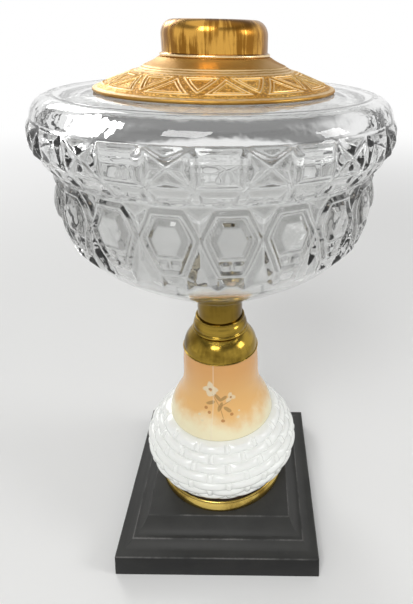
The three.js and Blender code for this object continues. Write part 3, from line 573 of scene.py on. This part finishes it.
# %% Measure the bulb
bulb_middle = 62.0
bulb_radius = 48.7
bulb_lower_depth = 31.0
lower_steps = 60
weave_foot = 38.8
weave_top = 83.8
weave_rows = 10

upper_bulb = [
    (48.7, 62.0), (48.5, 64.83), (47.49, 67.67), (45.82, 70.5), (43.74, 73.34), (41.46, 76.17),
    (39.19, 79.0), (35.3, 83.8),
]
lower_bulb = []
for i in range(lower_steps):
    below = (bulb_middle - dish_floor) * (1 - i / lower_steps)
    lower_bulb.append((bulb_radius * math.sqrt(1 - (below / bulb_lower_depth) ** 2), bulb_middle - below))
bulb_curve = np.array([*lower_bulb, *flowing(upper_bulb, steps=10)])
curve_heights = bulb_curve[:, 1]
curve_lengths = np.concatenate([[0], np.cumsum(np.hypot(*np.diff(bulb_curve, axis=0).T))])
first_length, last_length = np.interp([weave_foot, weave_top], curve_heights, curve_lengths)
row_length = (last_length - first_length) / weave_rows


def bulb_point(length):
    """Radius and height of the bulb at a length along its outline."""
    return [float(np.interp(length, curve_lengths, bulb_curve[:, side])) for side in (0, 1)]


print("Length of a row of the weave in mm:", round(row_length, 2))

# %% [markdown]
# ### Casting and weaving
# Each strand passes over every other upright stake and under the next. The vertex rows are closest
# together at the grooves between strands, because that is where the shape changes fastest.

# %% Cast and weave the stem
stake_count = 26
steps_per_stake = 16
stake_phase = math.radians(-5.6)
stake_half = 0.15
strand_lift = 1.65
stake_lift = 1.4
row_places = (0.0, 0.05, 0.12, 0.24, 0.4, 0.6, 0.76, 0.88, 0.95)
foot_places = (0.0, 0.25, 0.5, 0.75, 0.9)
bore = 9.0

foot_lengths = [first_length * place for place in foot_places]
weave_lengths = [
    first_length + row_length * (row + place) for row in range(weave_rows) for place in row_places
]
bell_points = [
    (33.45, 85.7), (32.45, 89.9), (30.45, 94.8), (27.78, 99.7), (25.31, 105.1),
    (23.86, 112.0), (23.45, 119.0), (23.15, 126.0), (22.4, 134.0),
]
stem_outline = [
    (bore, dish_floor),
    *[bulb_point(length) for length in foot_lengths + weave_lengths],
    (35.4, 83.7), (34.2, 84.2), (32.5, 84.4), (32.7, 84.65), (33.2, 84.95),
    *flowing(bell_points),
    (16.1, 134.1), (16.1, 144.3), (15.8, 144.5), (bore, 144.5), (bore, dish_floor),
]
milk_stem = spin_outline("milk_glass_stem", stem_outline, stake_count * steps_per_stake)


def weave(angle, radius, height):
    """The lift of the basket weave in mm."""
    place_up = (np.interp(height, curve_heights, curve_lengths) - first_length) / row_length
    row = np.floor(place_up)
    inside = (row >= 0) & (row < weave_rows) & (radius > bore + 1) & (height < weave_top)
    place = (angle - stake_phase) * stake_count / math.tau - row
    from_stake = np.abs((place + 1) % 2 - 1)
    across = np.clip(np.abs(place_up - row - 0.5) * 2, 0, 1)
    along = np.clip((from_stake - stake_half) / (1 - stake_half), 0, 1)
    strand = strand_lift * (1 - across ** 2.2) ** 0.75 * (1 - (1 - along) ** 2.6) ** 0.7
    stake = stake_lift * hump(from_stake, stake_half) * (1 - across ** 6)
    return np.where(inside, np.where(from_stake < stake_half, stake, strand), 0.0)


press(milk_stem, weave)
shade(milk_stem, degrees=50)
print("Greatest radius of the weave in mm:", round(milk_stem.dimensions.x / 2 / mm, 2))

# %% [markdown]
# ### Milk glass
# Milk glass is white with a cool tinge and a soft gloss. Light goes a few millimetres into it, which
# a little subsurface scattering shows.

# %% Mix the milk glass
milk = Finish("milk glass")
milk_clouds = milk.noise(milk.place(), 90.0, 3.0)
milk.set(
    Base_Color=milk.blend(milk_clouds, (0.87, 0.885, 0.85), (0.92, 0.93, 0.9)),
    Roughness=0.16,
    Coat_Weight=0.35,
    Subsurface_Weight=0.12,
    Subsurface_Radius=(0.004, 0.004, 0.0038),
)
milk.bump(milk_clouds, 0.1 * mm, 0.25)
print("Made", milk.material.name)

# %% [markdown]
# ### The paint on the bell
# The bell was sprayed peach over cream, with a cloudy edge. The flowers need to know how far round
# the bell a point lies, and the angle is wrapped so that they stand on the front and on the back.

# %% Spray the bell
bell_radius = 24.5
seam_radius = 24.0
seam_angle = math.radians(7.6)

bell_paint = Finish("painted bell")
paint_place = bell_paint.place()
paint_x, paint_y, paint_z = bell_paint.parts(paint_place)
paint_clouds = bell_paint.noise(paint_place, 70.0, 4.0)
brush_noise = bell_paint.noise(paint_place, 420.0, 3.0)
bell_height = paint_z / mm
cloudy_height = bell_height + (paint_clouds - 0.5) * 22.0
peach_share = bell_paint.step(bell_height, 104.0, 134.0)
peach = bell_paint.blend(peach_share, (0.80, 0.455, 0.15), (0.69, 0.345, 0.105))
ground = bell_paint.blend(bell_paint.step(cloudy_height, 88.0, 104.0), (0.90, 0.82, 0.55), peach)
paint_angle = bell_paint.maths("ARCTAN2", paint_x, paint_y * -1.0)
half_turn = bell_paint.node(
    "ShaderNodeMath", {"operation": "WRAP"}, {0: paint_angle, 1: math.pi / 2, 2: -math.pi / 2}
)
round_bell = half_turn * bell_radius
print("Made", bell_paint.material.name)

# %% [markdown]
# ### The flowers
# A small spray of flowers was painted by hand with loose dabs. Each dab is an ellipse: its mask falls
# off softly, and a little noise makes its edge uneven like a brush's. For each colour the table has
# how well it covers and its dabs: place, half length, half width and tilt in degrees.

# %% Paint the flowers
spray = {
    "petals": (0.75, (0.80, 0.72, 0.52), (
        (-5.2, 119.6, 3.1, 1.9, 95), (-7.6, 116.8, 2.9, 1.8, 20), (-2.8, 117.2, 3.0, 1.9, -30),
        (-6.2, 113.9, 2.6, 1.7, -70), (-3.6, 114.2, 2.6, 1.7, 50),
    )),
    "small petals": (0.7, (0.78, 0.66, 0.44), (
        (6.2, 109.6, 2.3, 1.5, 40), (8.6, 110.9, 2.1, 1.4, -35), (6.9, 112.6, 2.0, 1.3, 80),
        (-10.6, 99.4, 0.9, 0.7, 0), (-8.4, 96.6, 0.8, 0.6, 0), (10.4, 98.2, 0.9, 0.7, 0),
        (11.6, 101.4, 0.7, 0.6, 0),
    )),
    "leaves": (0.75, (0.33, 0.19, 0.05), (
        (-0.6, 111.2, 3.0, 1.2, -52), (2.9, 110.6, 2.8, 1.1, 35), (0.9, 105.2, 3.1, 1.2, 68),
        (-4.8, 107.6, 2.9, 1.2, 20), (5.0, 103.4, 2.6, 1.1, -38),
    )),
    "stems": (0.6, (0.36, 0.17, 0.05), (
        (-1.4, 108.9, 5.6, 0.3, -62), (3.8, 106.9, 4.6, 0.28, 28), (1.8, 101.4, 3.4, 0.28, -75),
    )),
    "berries": (0.8, (0.42, 0.16, 0.03), (
        (-5.2, 116.8, 1.2, 1.0, 0), (-7.4, 104.0, 1.1, 1.0, 0), (-5.2, 101.6, 1.0, 0.9, 0),
        (2.3, 97.4, 1.0, 0.9, 0), (7.4, 110.9, 0.8, 0.8, 0), (7.2, 100.4, 1.0, 0.9, 0),
    )),
}


def dab(across, height, half_length, half_width, tilt):
    """The mask of one brush dab on the bell."""
    turn = math.radians(tilt)
    sideways = round_bell - across
    upright = bell_height - height
    length = (sideways * math.cos(turn) + upright * math.sin(turn)) / half_length
    width = (upright * math.cos(turn) - sideways * math.sin(turn)) / half_width
    distance = bell_paint.hypotenuse(length, width) + (brush_noise - 0.5) * 0.7
    return 1.0 - bell_paint.step(distance, 0.75, 1.15)


masks = {}
painted = ground
for part, (cover, colour, dabs) in spray.items():
    masks[part] = bell_paint.greatest([dab(*values) for values in dabs])
    painted = bell_paint.blend(masks[part] * cover, painted, colour)
seam_distance = abs(paint_angle + seam_angle) * seam_radius
seam = 1.0 - bell_paint.step(seam_distance, 0.15, 0.6)
painted = bell_paint.blend(seam * 0.35, painted, (0.88, 0.76, 0.56))
bell_paint.set(Base_Color=painted, Roughness=0.24, Coat_Weight=0.3)
thick_paint = seam + masks["petals"] * 0.25 + masks["leaves"] * 0.2
bell_paint.bump(thick_paint + paint_clouds, 0.15 * mm, 0.4)
print("Nodes in the painted bell:", len(bell_paint.tree.nodes))

# %% [markdown]
# ### Dressing the stem
# The stem is one mesh with two materials. The bell takes the paint, and its peg stays bare.

# %% Dress the stem
bell_foot = 84.5
peg_radius = 16.2

fit_piece(milk_stem, "stem_glass", milk)
milk_stem.data.materials.append(bell_paint.material)
painted_faces = 0
for face in milk_stem.data.polygons:
    x, y, z = face.center / mm
    on_bell = z > bell_foot and math.hypot(x, y) > peg_radius
    face.material_index = int(on_bell)
    painted_faces += on_bell
print("Painted faces:", painted_faces)

# %% [markdown]
# ## Cap, step ring and cup
# Three spun brass pieces lead from the stem to the font. The cap is a dome of thin sheet on the
# shoulder of the stem.

# %% Spin the cap
cap_foot = 135.0
cap_top = 147.0


def quarter(foot_z, radius, height, low, high, steps=10):
    """Part of a quarter ellipse that leans inwards from its foot, between two heights."""
    first, last = [math.asin((z - foot_z) / height) for z in (low, high)]
    angles = [first + (last - first) * i / steps for i in range(steps + 1)]
    return [(radius * math.cos(a), foot_z + height * math.sin(a)) for a in angles]


cap_outline = [
    (rod_hole, cap_top), (14.0, cap_top),
    *reversed(quarter(cap_foot, 22.3, 16.0, cap_foot, 146.8)),
    (22.45, 134.7),
    *arc((22.7, 134.35), 0.3, 80, -80, steps=5),
    (21.5, 134.05),
    *quarter(cap_foot, 21.5, 15.2, cap_foot, 146.2),
    (rod_hole, 146.2), (rod_hole, cap_top),
]
cap = spin_outline("brass_cap", cap_outline, steps=144)
shade(cap)
fit_piece(cap, "stem_cap", olive_brass)

# %% [markdown]
# ### Ring and cup
# Both stand on the cap. The ring has a bead at each edge, and the cup takes the peg of the font and
# ends in a bead just under the glass.

# %% Spin ring and cup
ring_outline = [
    (13.5, cap_top), (15.7, cap_top),
    *arc((15.8, 147.8), 0.8, -90, 75, steps=8),
    (15.75, 148.9),
    *flowing([(15.9, 149.2), (16.0, 150.6), (15.5, 152.2), (14.6, 153.6), (14.1, 154.6)], steps=4),
    *arc((14.05, 155.45), 0.55, -80, 90, steps=7),
    (13.5, 156.0), (13.5, cap_top),
]
step_ring = spin_outline("step_ring_brass", ring_outline, steps=144)
shade(step_ring)
fit_piece(step_ring, "step_ring", olive_brass)

cup_outline = [
    (rod_hole, cap_top), (12.9, cap_top), (13.2, 147.3), (13.2, 164.8), (13.3, 166.4), (13.55, 168.2),
    *arc((13.75, 169.6), 0.4, -20, 120, steps=6),
    (13.1, 169.5), (12.4, 167.0), (12.2, 165.0), (12.2, 148.0), (rod_hole, 148.0), (rod_hole, cap_top),
]
cup = spin_outline("brass_cup", cup_outline, steps=128)
shade(cup)
fit_piece(cup, "font_cup", olive_brass)

# %% [markdown]
# ## The pressed glass font
# The font was pressed in a patterned mould. Twenty hexagons stand round it, each with a raised
# border, a lens and two small squares at its foot. Above them run fifteen blocks, with a cross
# between each two. The outside is spun first, finely enough to take the pattern.

# %% Spin the outside of the font
hexagon_count = 20
hexagon_phase = math.radians(-1)
hexagon_foot = 211.5
hexagon_height = 37.0
block_count = 15
block_phase = math.radians(-13.3)
block_foot = 249.5
block_height = 22.5
hexagon_rows = 49
block_rows = 29
steps_per_hexagon = 36

underside = [
    (14.2, 170.0), (16.8, 170.8), (24.7, 176.0), (36.4, 184.0), (51.2, 193.7), (64.2, 203.5),
    (71.63, 211.5),
]
hexagon_wall = [
    (71.63, 211.5), (73.99, 218.9), (75.82, 226.3), (76.2, 233.7), (75.29, 241.1), (76.4, 248.5),
]
block_wall = [
    (77.43, 249.5), (78.69, 252.0), (80.11, 254.0), (82.2, 257.0), (83.4, 260.75), (83.6, 264.1),
    (83.3, 267.5), (82.38, 272.0),
]
crown = [
    (82.38, 272.0), (81.7, 274.0), (80.5, 276.0), (78.9, 277.7), (76.5, 279.1), (73.6, 279.9),
]


def evenly_up(points, rows):
    """The same curve with rows that are equally high."""
    radii, heights = np.array(flowing(points, steps=12)).T
    return [
        (float(np.interp(z, heights, radii)), float(z))
        for z in np.linspace(heights[0], heights[-1], rows + 1)
    ]


outside_outline = [
    (0, 157.8), (8.1, 157.8), (8.6, 158.3), (8.6, 169.6), (9.0, 170.0),
    *flowing(underside, steps=3)[:-1],
    *evenly_up(hexagon_wall, hexagon_rows),
    *evenly_up(block_wall, block_rows),
    *flowing(crown, steps=2)[1:],
    (72.7, 279.6), (71.9, 279.97), (71.5, 280.0), (24.2, 280.0), (23.6, 280.05), (23.2, 280.4),
    (23.2, 289.8), (22.8, 290.2), (17.5, 290.2),
]
font = spin_outline("pressed_font", outside_outline, steps=hexagon_count * steps_per_hexagon)
print("Rows in a hexagon and in a block:", hexagon_rows, block_rows)

# %% [markdown]
# ### The pattern of the font
# Shares run across and up in one hexagon or one block, and the polygons below are drawn in them. The
# crosses are the four triangles of a rectangle: the grooves between them make the cross.

# %% Draw the pattern
hexagon = ((0.27, 0.216), (0.73, 0.216), (1, 0.65), (0.77, 0.96), (0.23, 0.96), (0, 0.65))
lens = ((0.28, 0.43), (0.72, 0.43), (0.86, 0.65), (0.71, 0.875), (0.29, 0.875), (0.14, 0.65))
small_squares = (
    ((0.34, 0.3), (0.485, 0.3), (0.485, 0.405), (0.3, 0.405)),
    ((0.515, 0.3), (0.66, 0.3), (0.7, 0.405), (0.515, 0.405)),
)
hexagon_roofs = (
    ((0.73, 0), (1.27, 0), (1.27, 0.216), (1, 0.65), (0.73, 0.216)),
    ((0.27, 0), (0.73, 0), (0.73, 0.216), (0.27, 0.216)),
    ((1, 0.65), (1.23, 0.96), (1.23, 1), (0.77, 1), (0.77, 0.96)),
)
block = ((0.5, 0.333), (1, 0.333), (1, 0.956), (0.5, 0.956))
tab = ((0.54, 0.04), (0.96, 0.04), (0.96, 0.29), (0.54, 0.29))
dart = ((0.02, 0.02), (0.48, 0.02), (0.48, 0.31), (0.02, 0.31))
cross_corners = ((0, 0.333), (0.5, 0.333), (0.5, 0.956), (0, 0.956))
cross_middle = (0.25, 0.645)
cross_sides = zip(cross_corners, cross_corners[1:] + cross_corners[:1])
cross_roofs = [(first, second, cross_middle) for first, second in cross_sides]
print("Roofs beside a hexagon and in a cross:", len(hexagon_roofs), len(cross_roofs))

# %% [markdown]
# ### Pressing the font
# A lens is domed inside a bevel, a block has a bevelled edge all round, and the fields between them
# rise like hip roofs. Each point takes the highest of what lies there.

# %% Press the font
border_lift = 1.4
border_fall = 1.15
bevel_lift = 1.6
dome_lift = 1.0
square_lift = 0.85
block_lift = 1.15
tab_lift = 0.8
dart_lift = 0.9
roof_lift = 1.6


def hexagon_relief(across, up, width):
    """The lift of the hexagon band in mm."""
    def inside(field, shift=0):
        return depth_in(field, across + shift, up, width, hexagon_height)

    depth = inside(hexagon)
    lens_depth = inside(lens)
    rounding = 1 - (1 - np.clip((lens_depth - 1.5) / 6.5, 0, 1)) ** 2
    border = border_lift * rise_between(depth, 0, 0.7) - border_fall * rise_between(depth, 2.1, 2.9)
    dome = bevel_lift * rise_between(lens_depth, -0.3, 2.9) + dome_lift * rounding
    squares = [square_lift * rise_between(inside(square), 0, 0.6) for square in small_squares]
    roofs = [
        np.clip(inside(roof, shift) * 0.42, 0, roof_lift) for roof in hexagon_roofs for shift in (0, 1)
    ]
    return np.maximum.reduce([border, *[border + raised for raised in (dome, *squares)], *roofs])


def block_relief(across, up, width):
    """The lift of the block band in mm."""
    def inside(field):
        return depth_in(field, across, up, width, block_height)

    faces = [
        block_lift * np.clip(inside(block) / 2.4, 0, 1),
        tab_lift * np.clip(inside(tab) / 1.3, 0, 1),
        np.clip(inside(dart) * 0.4, 0, dart_lift),
    ]
    roofs = [np.clip(inside(roof) * 0.55, 0, roof_lift) for roof in cross_roofs]
    return np.maximum.reduce([*faces, *roofs])


def mould(angle, radius, height):
    """The lift of the whole pattern in mm."""
    radius = np.maximum(radius, 1.0)  # on the axis a repeat would have no width
    hexagon_across = share_across(angle, hexagon_phase, hexagon_count)
    hexagon_up = (height - hexagon_foot) / hexagon_height
    block_across = share_across(angle, block_phase, block_count)
    block_up = (height - block_foot) / block_height
    hexagons = hexagon_relief(hexagon_across, hexagon_up, radius * math.tau / hexagon_count)
    blocks = block_relief(block_across, block_up, radius * math.tau / block_count)
    in_hexagons = (hexagon_up > 0) & (hexagon_up < 1)
    in_blocks = (block_up > 0) & (block_up < 1)
    return np.where(in_hexagons, hexagons, np.where(in_blocks, blocks, 0.0))


press(font, mould)
print("Widest radius of the font in mm:", round(max(v.co.x for v in font.data.vertices) / mm, 2))

# %% [markdown]
# ### The hollow of the font
# The inside is smooth, so it needs far fewer steps and is spun as a piece of its own. Under the flat
# top it has a low dome: between two flat parallel faces the light would be caught, and the top would
# look black. Both pieces are open at the mouth, and the bridge closes them there.

# %% Spin the inside and bridge the two
inside_outline = [
    (17.5, 289.9), (17.5, 275.8),
    *flowing([
        (20.0, 275.6), (44.0, 275.4), (56.0, 274.4), (65.0, 272.4), (72.0, 269.2), (76.6, 264.6),
        (76.8, 257.8), (72.4, 249.5), (71.0, 241.0), (71.2, 233.7), (69.6, 222.0), (66.6, 211.5),
        (60.7, 204.5), (47.7, 194.6), (32.9, 185.2), (21.2, 178.6), (9.0, 177.0),
    ], steps=4),
    (0, 177.0),
]
join_to(font, spin_outline("font_inside", inside_outline, hexagon_count * steps_per_hexagon // 4))
bpy.ops.object.mode_set(mode="EDIT")
bpy.ops.mesh.select_all(action="DESELECT")
bpy.ops.mesh.select_non_manifold()
bpy.ops.mesh.bridge_edge_loops()
close_up()
shade(font, degrees=70)
print("Faces of the font:", len(font.data.polygons))

# %% [markdown]
# ### Clear glass
# The glass is a little grey, and it waves softly, as pressed glass does. Where the pattern is steep,
# and in the crease round the flat top, it is painted darker, as painted shade. For the rays that look
# for the lamps it is plainly see-through, so that it throws a light shadow.

# %% Make the clear glass
crease_radius = 72.3

clear_glass = Finish("clear glass")
glass_place = clear_glass.place()
glass_x, glass_y, glass_z = clear_glass.parts(glass_place)
glass_waves = clear_glass.noise(glass_place, 75.0, 3.0)
turned = clear_glass.node("ShaderNodeAttribute", {"attribute_name": "turned"}, {}, "Fac")
from_crease = abs(clear_glass.hypotenuse(glass_x, glass_y) / mm - crease_radius)
on_crown = clear_glass.step(glass_z / mm, 278.0, 279.0)
# Painted shade: the glass is painted dark in the crease round the flat top, and grey where the pattern is
# steep.
painted_crease_shade = (1.0 - clear_glass.step(from_crease, 0.3, 0.9)) * on_crown
painted_steep_shade = clear_glass.step(turned, 0.01, 0.13)
steep_shade_grey = clear_glass.blend(painted_steep_shade, (0.83, 0.835, 0.83), (0.42, 0.42, 0.41))
clear_glass.set(
    Base_Color=clear_glass.blend(painted_crease_shade * 0.85, steep_shade_grey, (0.08, 0.08, 0.075)),
    Roughness=0.02,
    IOR=1.5,
    Transmission_Weight=1.0,
)
clear_glass.bump(glass_waves, 0.5 * mm, 0.45)
for_shadows = clear_glass.node("ShaderNodeLightPath", {}, {}, "Is Shadow Ray")
see_through = clear_glass.node("ShaderNodeBsdfTransparent", {}, {"Color": (0.7, 0.7, 0.7, 1)})
clear_glass.show(for_shadows, see_through)
fit_piece(font, "glass_font", clear_glass)

# %% [markdown]
# ## The brass shoulder
# A cone of thin brass covers the neck of the font. Its outer edge is rolled, and a few rings run
# round its top. Between them lies the band that is embossed.

# %% Spin the shoulder
zigzag_count = 13
steps_per_zigzag = 48
band_outer = (52.42, 282.42)
band_inner = (36.48, 288.24)
band_rows = 44


def along_band(share):
    return tuple(a + (b - a) * share for a, b in zip(band_outer, band_inner))


shoulder_outline = [
    (53.6, 280.35),
    *arc((54.6, 281.1), 0.8, -90, 100, steps=8),
    (53.7, 281.9), (53.2, 282.15),
    *[along_band(i / band_rows) for i in range(band_rows + 1)],
    (36.2, 288.7), (35.6, 288.75), (35.2, 288.7), (34.9, 288.95), (34.4, 289.3), (34.15, 289.35),
    (33.9, 289.6), (33.2, 289.9), (32.9, 289.95), (32.6, 290.3),
    *flowing([(32.3, 290.6), (29.47, 291.75), (27.4, 292.75), (25.7, 293.8)], steps=5),
    (25.2, 294.0), (18.6, 294.0), (18.6, 293.1), (24.7, 293.1), (30.0, 290.4), (33.05, 288.7),
    (36.48, 287.1), (52.42, 281.3), (53.6, 280.35),
]
shoulder = spin_outline("embossed_shoulder", shoulder_outline, steps=zigzag_count * steps_per_zigzag)
print("Rows of the band:", band_rows)

# %% [markdown]
# ### The zigzag
# A zigzag rib runs round the band, and each triangle beside the rib has a raised line inside its edge
# and a stippled middle. The distance to the nearest side of a triangle decides the lift at each point.

# %% Emboss the shoulder
zigzag_phase = math.radians(-3.8)
low_field = ((0.13, 0.1), (0.87, 0.1), (0.5, 0.84))
high_field = ((1.0, 0.16), (1.37, 0.9), (0.63, 0.9))
ribbon_lift = 0.22
edge_lift = 0.6
line_lift = 0.55


def zigzag(angle, radius, height):
    """The lift of the embossed band in mm."""
    along = (band_outer[0] - radius) / (band_outer[0] - band_inner[0])
    on_face = np.abs(height - (band_outer[1] + (band_inner[1] - band_outer[1]) * along)) < 0.05
    inside = on_face & (along > -0.001) & (along < 1.001)
    across = share_across(angle, zigzag_phase, zigzag_count)
    width = radius * math.tau / zigzag_count
    length = math.dist(band_outer, band_inner)
    depth = np.maximum.reduce([
        depth_in(low_field, across, along, width, length),
        depth_in(high_field, across, along, width, length),
        depth_in(high_field, across + 1, along, width, length),
    ])
    ribbon = ribbon_lift * (1 - rise_between(depth, -0.2, 0.3))
    edge = edge_lift * hump(depth - 0.1, 0.45)
    line = line_lift * hump(depth - 1.5, 0.45)
    field = field_lift * rise_between(depth, 2.0, 2.4)
    return np.where(inside, np.maximum.reduce([ribbon, edge, line, field]), 0.0)


press(shoulder, zigzag)
shade(shoulder, degrees=50)
fit_piece(shoulder, "font_shoulder", embossed)

# %% [markdown]
# ## The screw collar
# The burner screws into this collar. Its wall stands straight, its top is rounded in to the throat,
# and the throat carries a rolled thread. A thread is a wave that climbs by one pitch for each turn,
# so the press draws it from angle and height together.

# %% Spin the collar
thread_pitch = 1.8
thread_depth = 0.5
thread_foot = 294.2
thread_top = 306.5
thread_fade = 1.3
throat_radius = 15.9
throat_top = 307.0
throat_height = 13.0
throat_rows = 64
bend_foot = 302.4
bend_steps = 14

bend = [math.radians(90 * i / bend_steps) for i in range(bend_steps + 1)]
collar_outline = [
    (22.8, 294.0), (24.3, 294.0),
    *arc((24.3, 294.75), 0.75, -90, 95, steps=8),
    (23.95, 295.75),
    *[(23.9, z) for z in (296.2, 298, 300, 302)],
    *[(18.1 + 5.8 * math.cos(a), bend_foot + 6.2 * math.sin(a)) for a in bend],
    *arc((16.6, 307.9), 0.7, 90, 175, steps=5),
    *[(throat_radius, throat_top - throat_height * i / throat_rows) for i in range(throat_rows + 1)],
    (throat_radius, 292.5), (17.0, 292.5), (17.0, 307.3),
    *[(17.0 + 5.8 * math.cos(a), bend_foot + 5.1 * math.sin(a)) for a in reversed(bend[::3])],
    (22.8, 294.0),
]
collar = spin_outline("screw_collar", collar_outline, steps=160)


def thread(angle, radius, height):
    """A rolled thread in the throat, in mm; the wall's normal points to the axis."""
    in_throat = (np.abs(radius - throat_radius) < 0.01) & (height < thread_top) & (height > thread_foot)
    wave = np.sin((height / thread_pitch + angle / math.tau) * math.tau)
    below_top = 1 - rise_between(height, thread_top - thread_fade, thread_top)
    fade = rise_between(height, thread_foot, thread_foot + thread_fade) * below_top
    return np.where(in_throat, -thread_depth * (0.5 + 0.5 * wave) * fade, 0.0)


press(collar, thread)
shade(collar)
fit_piece(collar, "burner_collar", golden_brass)

# %% [markdown]
# ## Plaster, leather and steel
# Plaster holds font, shoulder and stem in their fittings. It is rough with a fine grain, and in the
# dish it is dark. These pieces keep their CAD meshes, because little of them shows.

# %% Finish what is hidden
def plain(name, dark, light, roughness, grain, metallic=0.0):
    finish = Finish(name)
    place = finish.place()
    clouds = finish.noise(place, 160.0, 5.0)
    fine = finish.noise(place, grain, 3.0)
    colour = finish.blend(finish.step(clouds, 0.3, 0.7), dark, light)
    finish.set(Base_Color=colour, Roughness=roughness + fine * 0.15, Metallic=metallic)
    finish.bump(fine + clouds, 0.2 * mm, 0.5)
    return finish


plaster = plain("plaster", (0.70, 0.60, 0.40), (0.84, 0.76, 0.58), 0.75, 900.0)
dark_plaster = plain("dark plaster", (0.03, 0.016, 0.008), (0.09, 0.045, 0.02), 0.6, 700.0)
steel = plain("steel", (0.30, 0.29, 0.28), (0.45, 0.44, 0.43), 0.35, 1200.0, metallic=1.0)
leather = plain("leather", (0.12, 0.06, 0.03), (0.2, 0.11, 0.055), 0.7, 1100.0)

node_finishes = {
    "shoulder_cement": plaster,
    "font_cement": plaster,
    "cap_washer": leather,
    "tie_rod": steel,
    "rod_nut": steel,
    "base_washer": steel,
    "base_nut": steel,
}
for node, finish in node_finishes.items():
    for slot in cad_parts[node].material_slots:
        slot.material = finish.material
    print(node, "takes", finish.material.name)

# %% [markdown]
# ### The bedding in the dish
# Only its top shows, as a dark ring between the bulb and the rim of the dish. It slopes up to the
# glass, as a finger would smooth it.

# %% Bed the stem
bedding_outline = [
    (18.5, dish_floor), (39.0, dish_floor), (39.0, 33.6), (38.0, 34.3), (35.5, 35.6), (32.5, 36.4),
    (30.4, 36.7), (29.55, 36.8), (27.36, 35.82), (24.86, 34.85), (21.97, 33.87), (18.5, 32.9),
    (18.5, dish_floor),
]
bedding = spin_outline("plaster_bedding", bedding_outline, steps=120)
shade(bedding, degrees=60)
fit_piece(bedding, "stem_bedding", dark_plaster)

# %% [markdown]
# ## The stage
# The world is white to the camera, to metal and to glass. High overhead it is grey, as a ceiling is,
# with a bright skylight in its middle, which gives metal and glass something to reflect.

# %% Light the world
class Backdrop(Finish):
    """The world, drawn with the same nodes."""

    def __init__(self, name):
        self.world = bpy.data.worlds.new(name)
        self.world.use_nodes = True
        self.tree = self.world.node_tree
        self.shader = self.tree.nodes["Background"]


world_light = 0.42
studio = Backdrop("studio")
bpy.context.scene.world = studio.world
path_kinds = ("Is Camera Ray", "Is Glossy Ray", "Is Transmission Ray")
seen = studio.greatest([studio.node("ShaderNodeLightPath", {}, {}, kind) for kind in path_kinds])
way_up = studio.parts(studio.node("ShaderNodeTexCoord", {}, {}, "Generated"))[2]
skylight = studio.step(way_up, 0.78, 0.87)
ceiling = studio.step(way_up, 0.42, 0.7) - skylight
studio.set(
    Color=studio.blend(ceiling * seen, (1.0, 1.0, 1.0), (0.26, 0.26, 0.26)),
    Strength=seen * (1 - world_light) + world_light,
)
print("Lit by", studio.world.name)

# %% [markdown]
# ### Floor and lamps
# A plain pale floor that turns white farther away, one large soft lamp in front and above, and
# weaker ones on the right and behind.

# %% Lay the floor and hang the lamps
clear_selection()
bpy.ops.mesh.primitive_plane_add(size=12)
floor = bpy.context.active_object
floor.name = "floor"
pale = Finish("floor")
floor_x, floor_y, _ = pale.parts(pale.place())
floor_far = pale.step(pale.hypotenuse(floor_x, floor_y), 0.35, 1.6)
pale.set(Base_Color=(0.86, 0.86, 0.85, 1), Roughness=0.9, Specular_IOR_Level=0.1)
pale.show(floor_far, pale.node("ShaderNodeEmission", {}, {"Color": (1, 1, 1, 1)}))
floor.data.materials.append(pale.material)


def soft_lamp(name, place, size, power):
    """Hang a square lamp that faces the middle of the object."""
    data = bpy.data.lights.new(name, "AREA")
    data.shape = "SQUARE"
    data.size = size
    data.energy = power
    lamp = bpy.data.objects.new(name, data)
    bpy.context.scene.collection.objects.link(lamp)
    aim = Vector((0, 0, 0.16)) - Vector(place)
    lamp.matrix_world = Matrix.Translation(place) @ aim.to_track_quat("-Z", "Y").to_matrix().to_4x4()
    print(name, "in watts:", power)


soft_lamp("front lamp", (-0.25, -0.8, 1.1), size=0.45, power=6.6)
soft_lamp("right lamp", (1.0, -0.2, 0.7), size=0.35, power=3.0)
soft_lamp("back lamp", (-0.7, 0.9, 0.9), size=0.45, power=4.0)
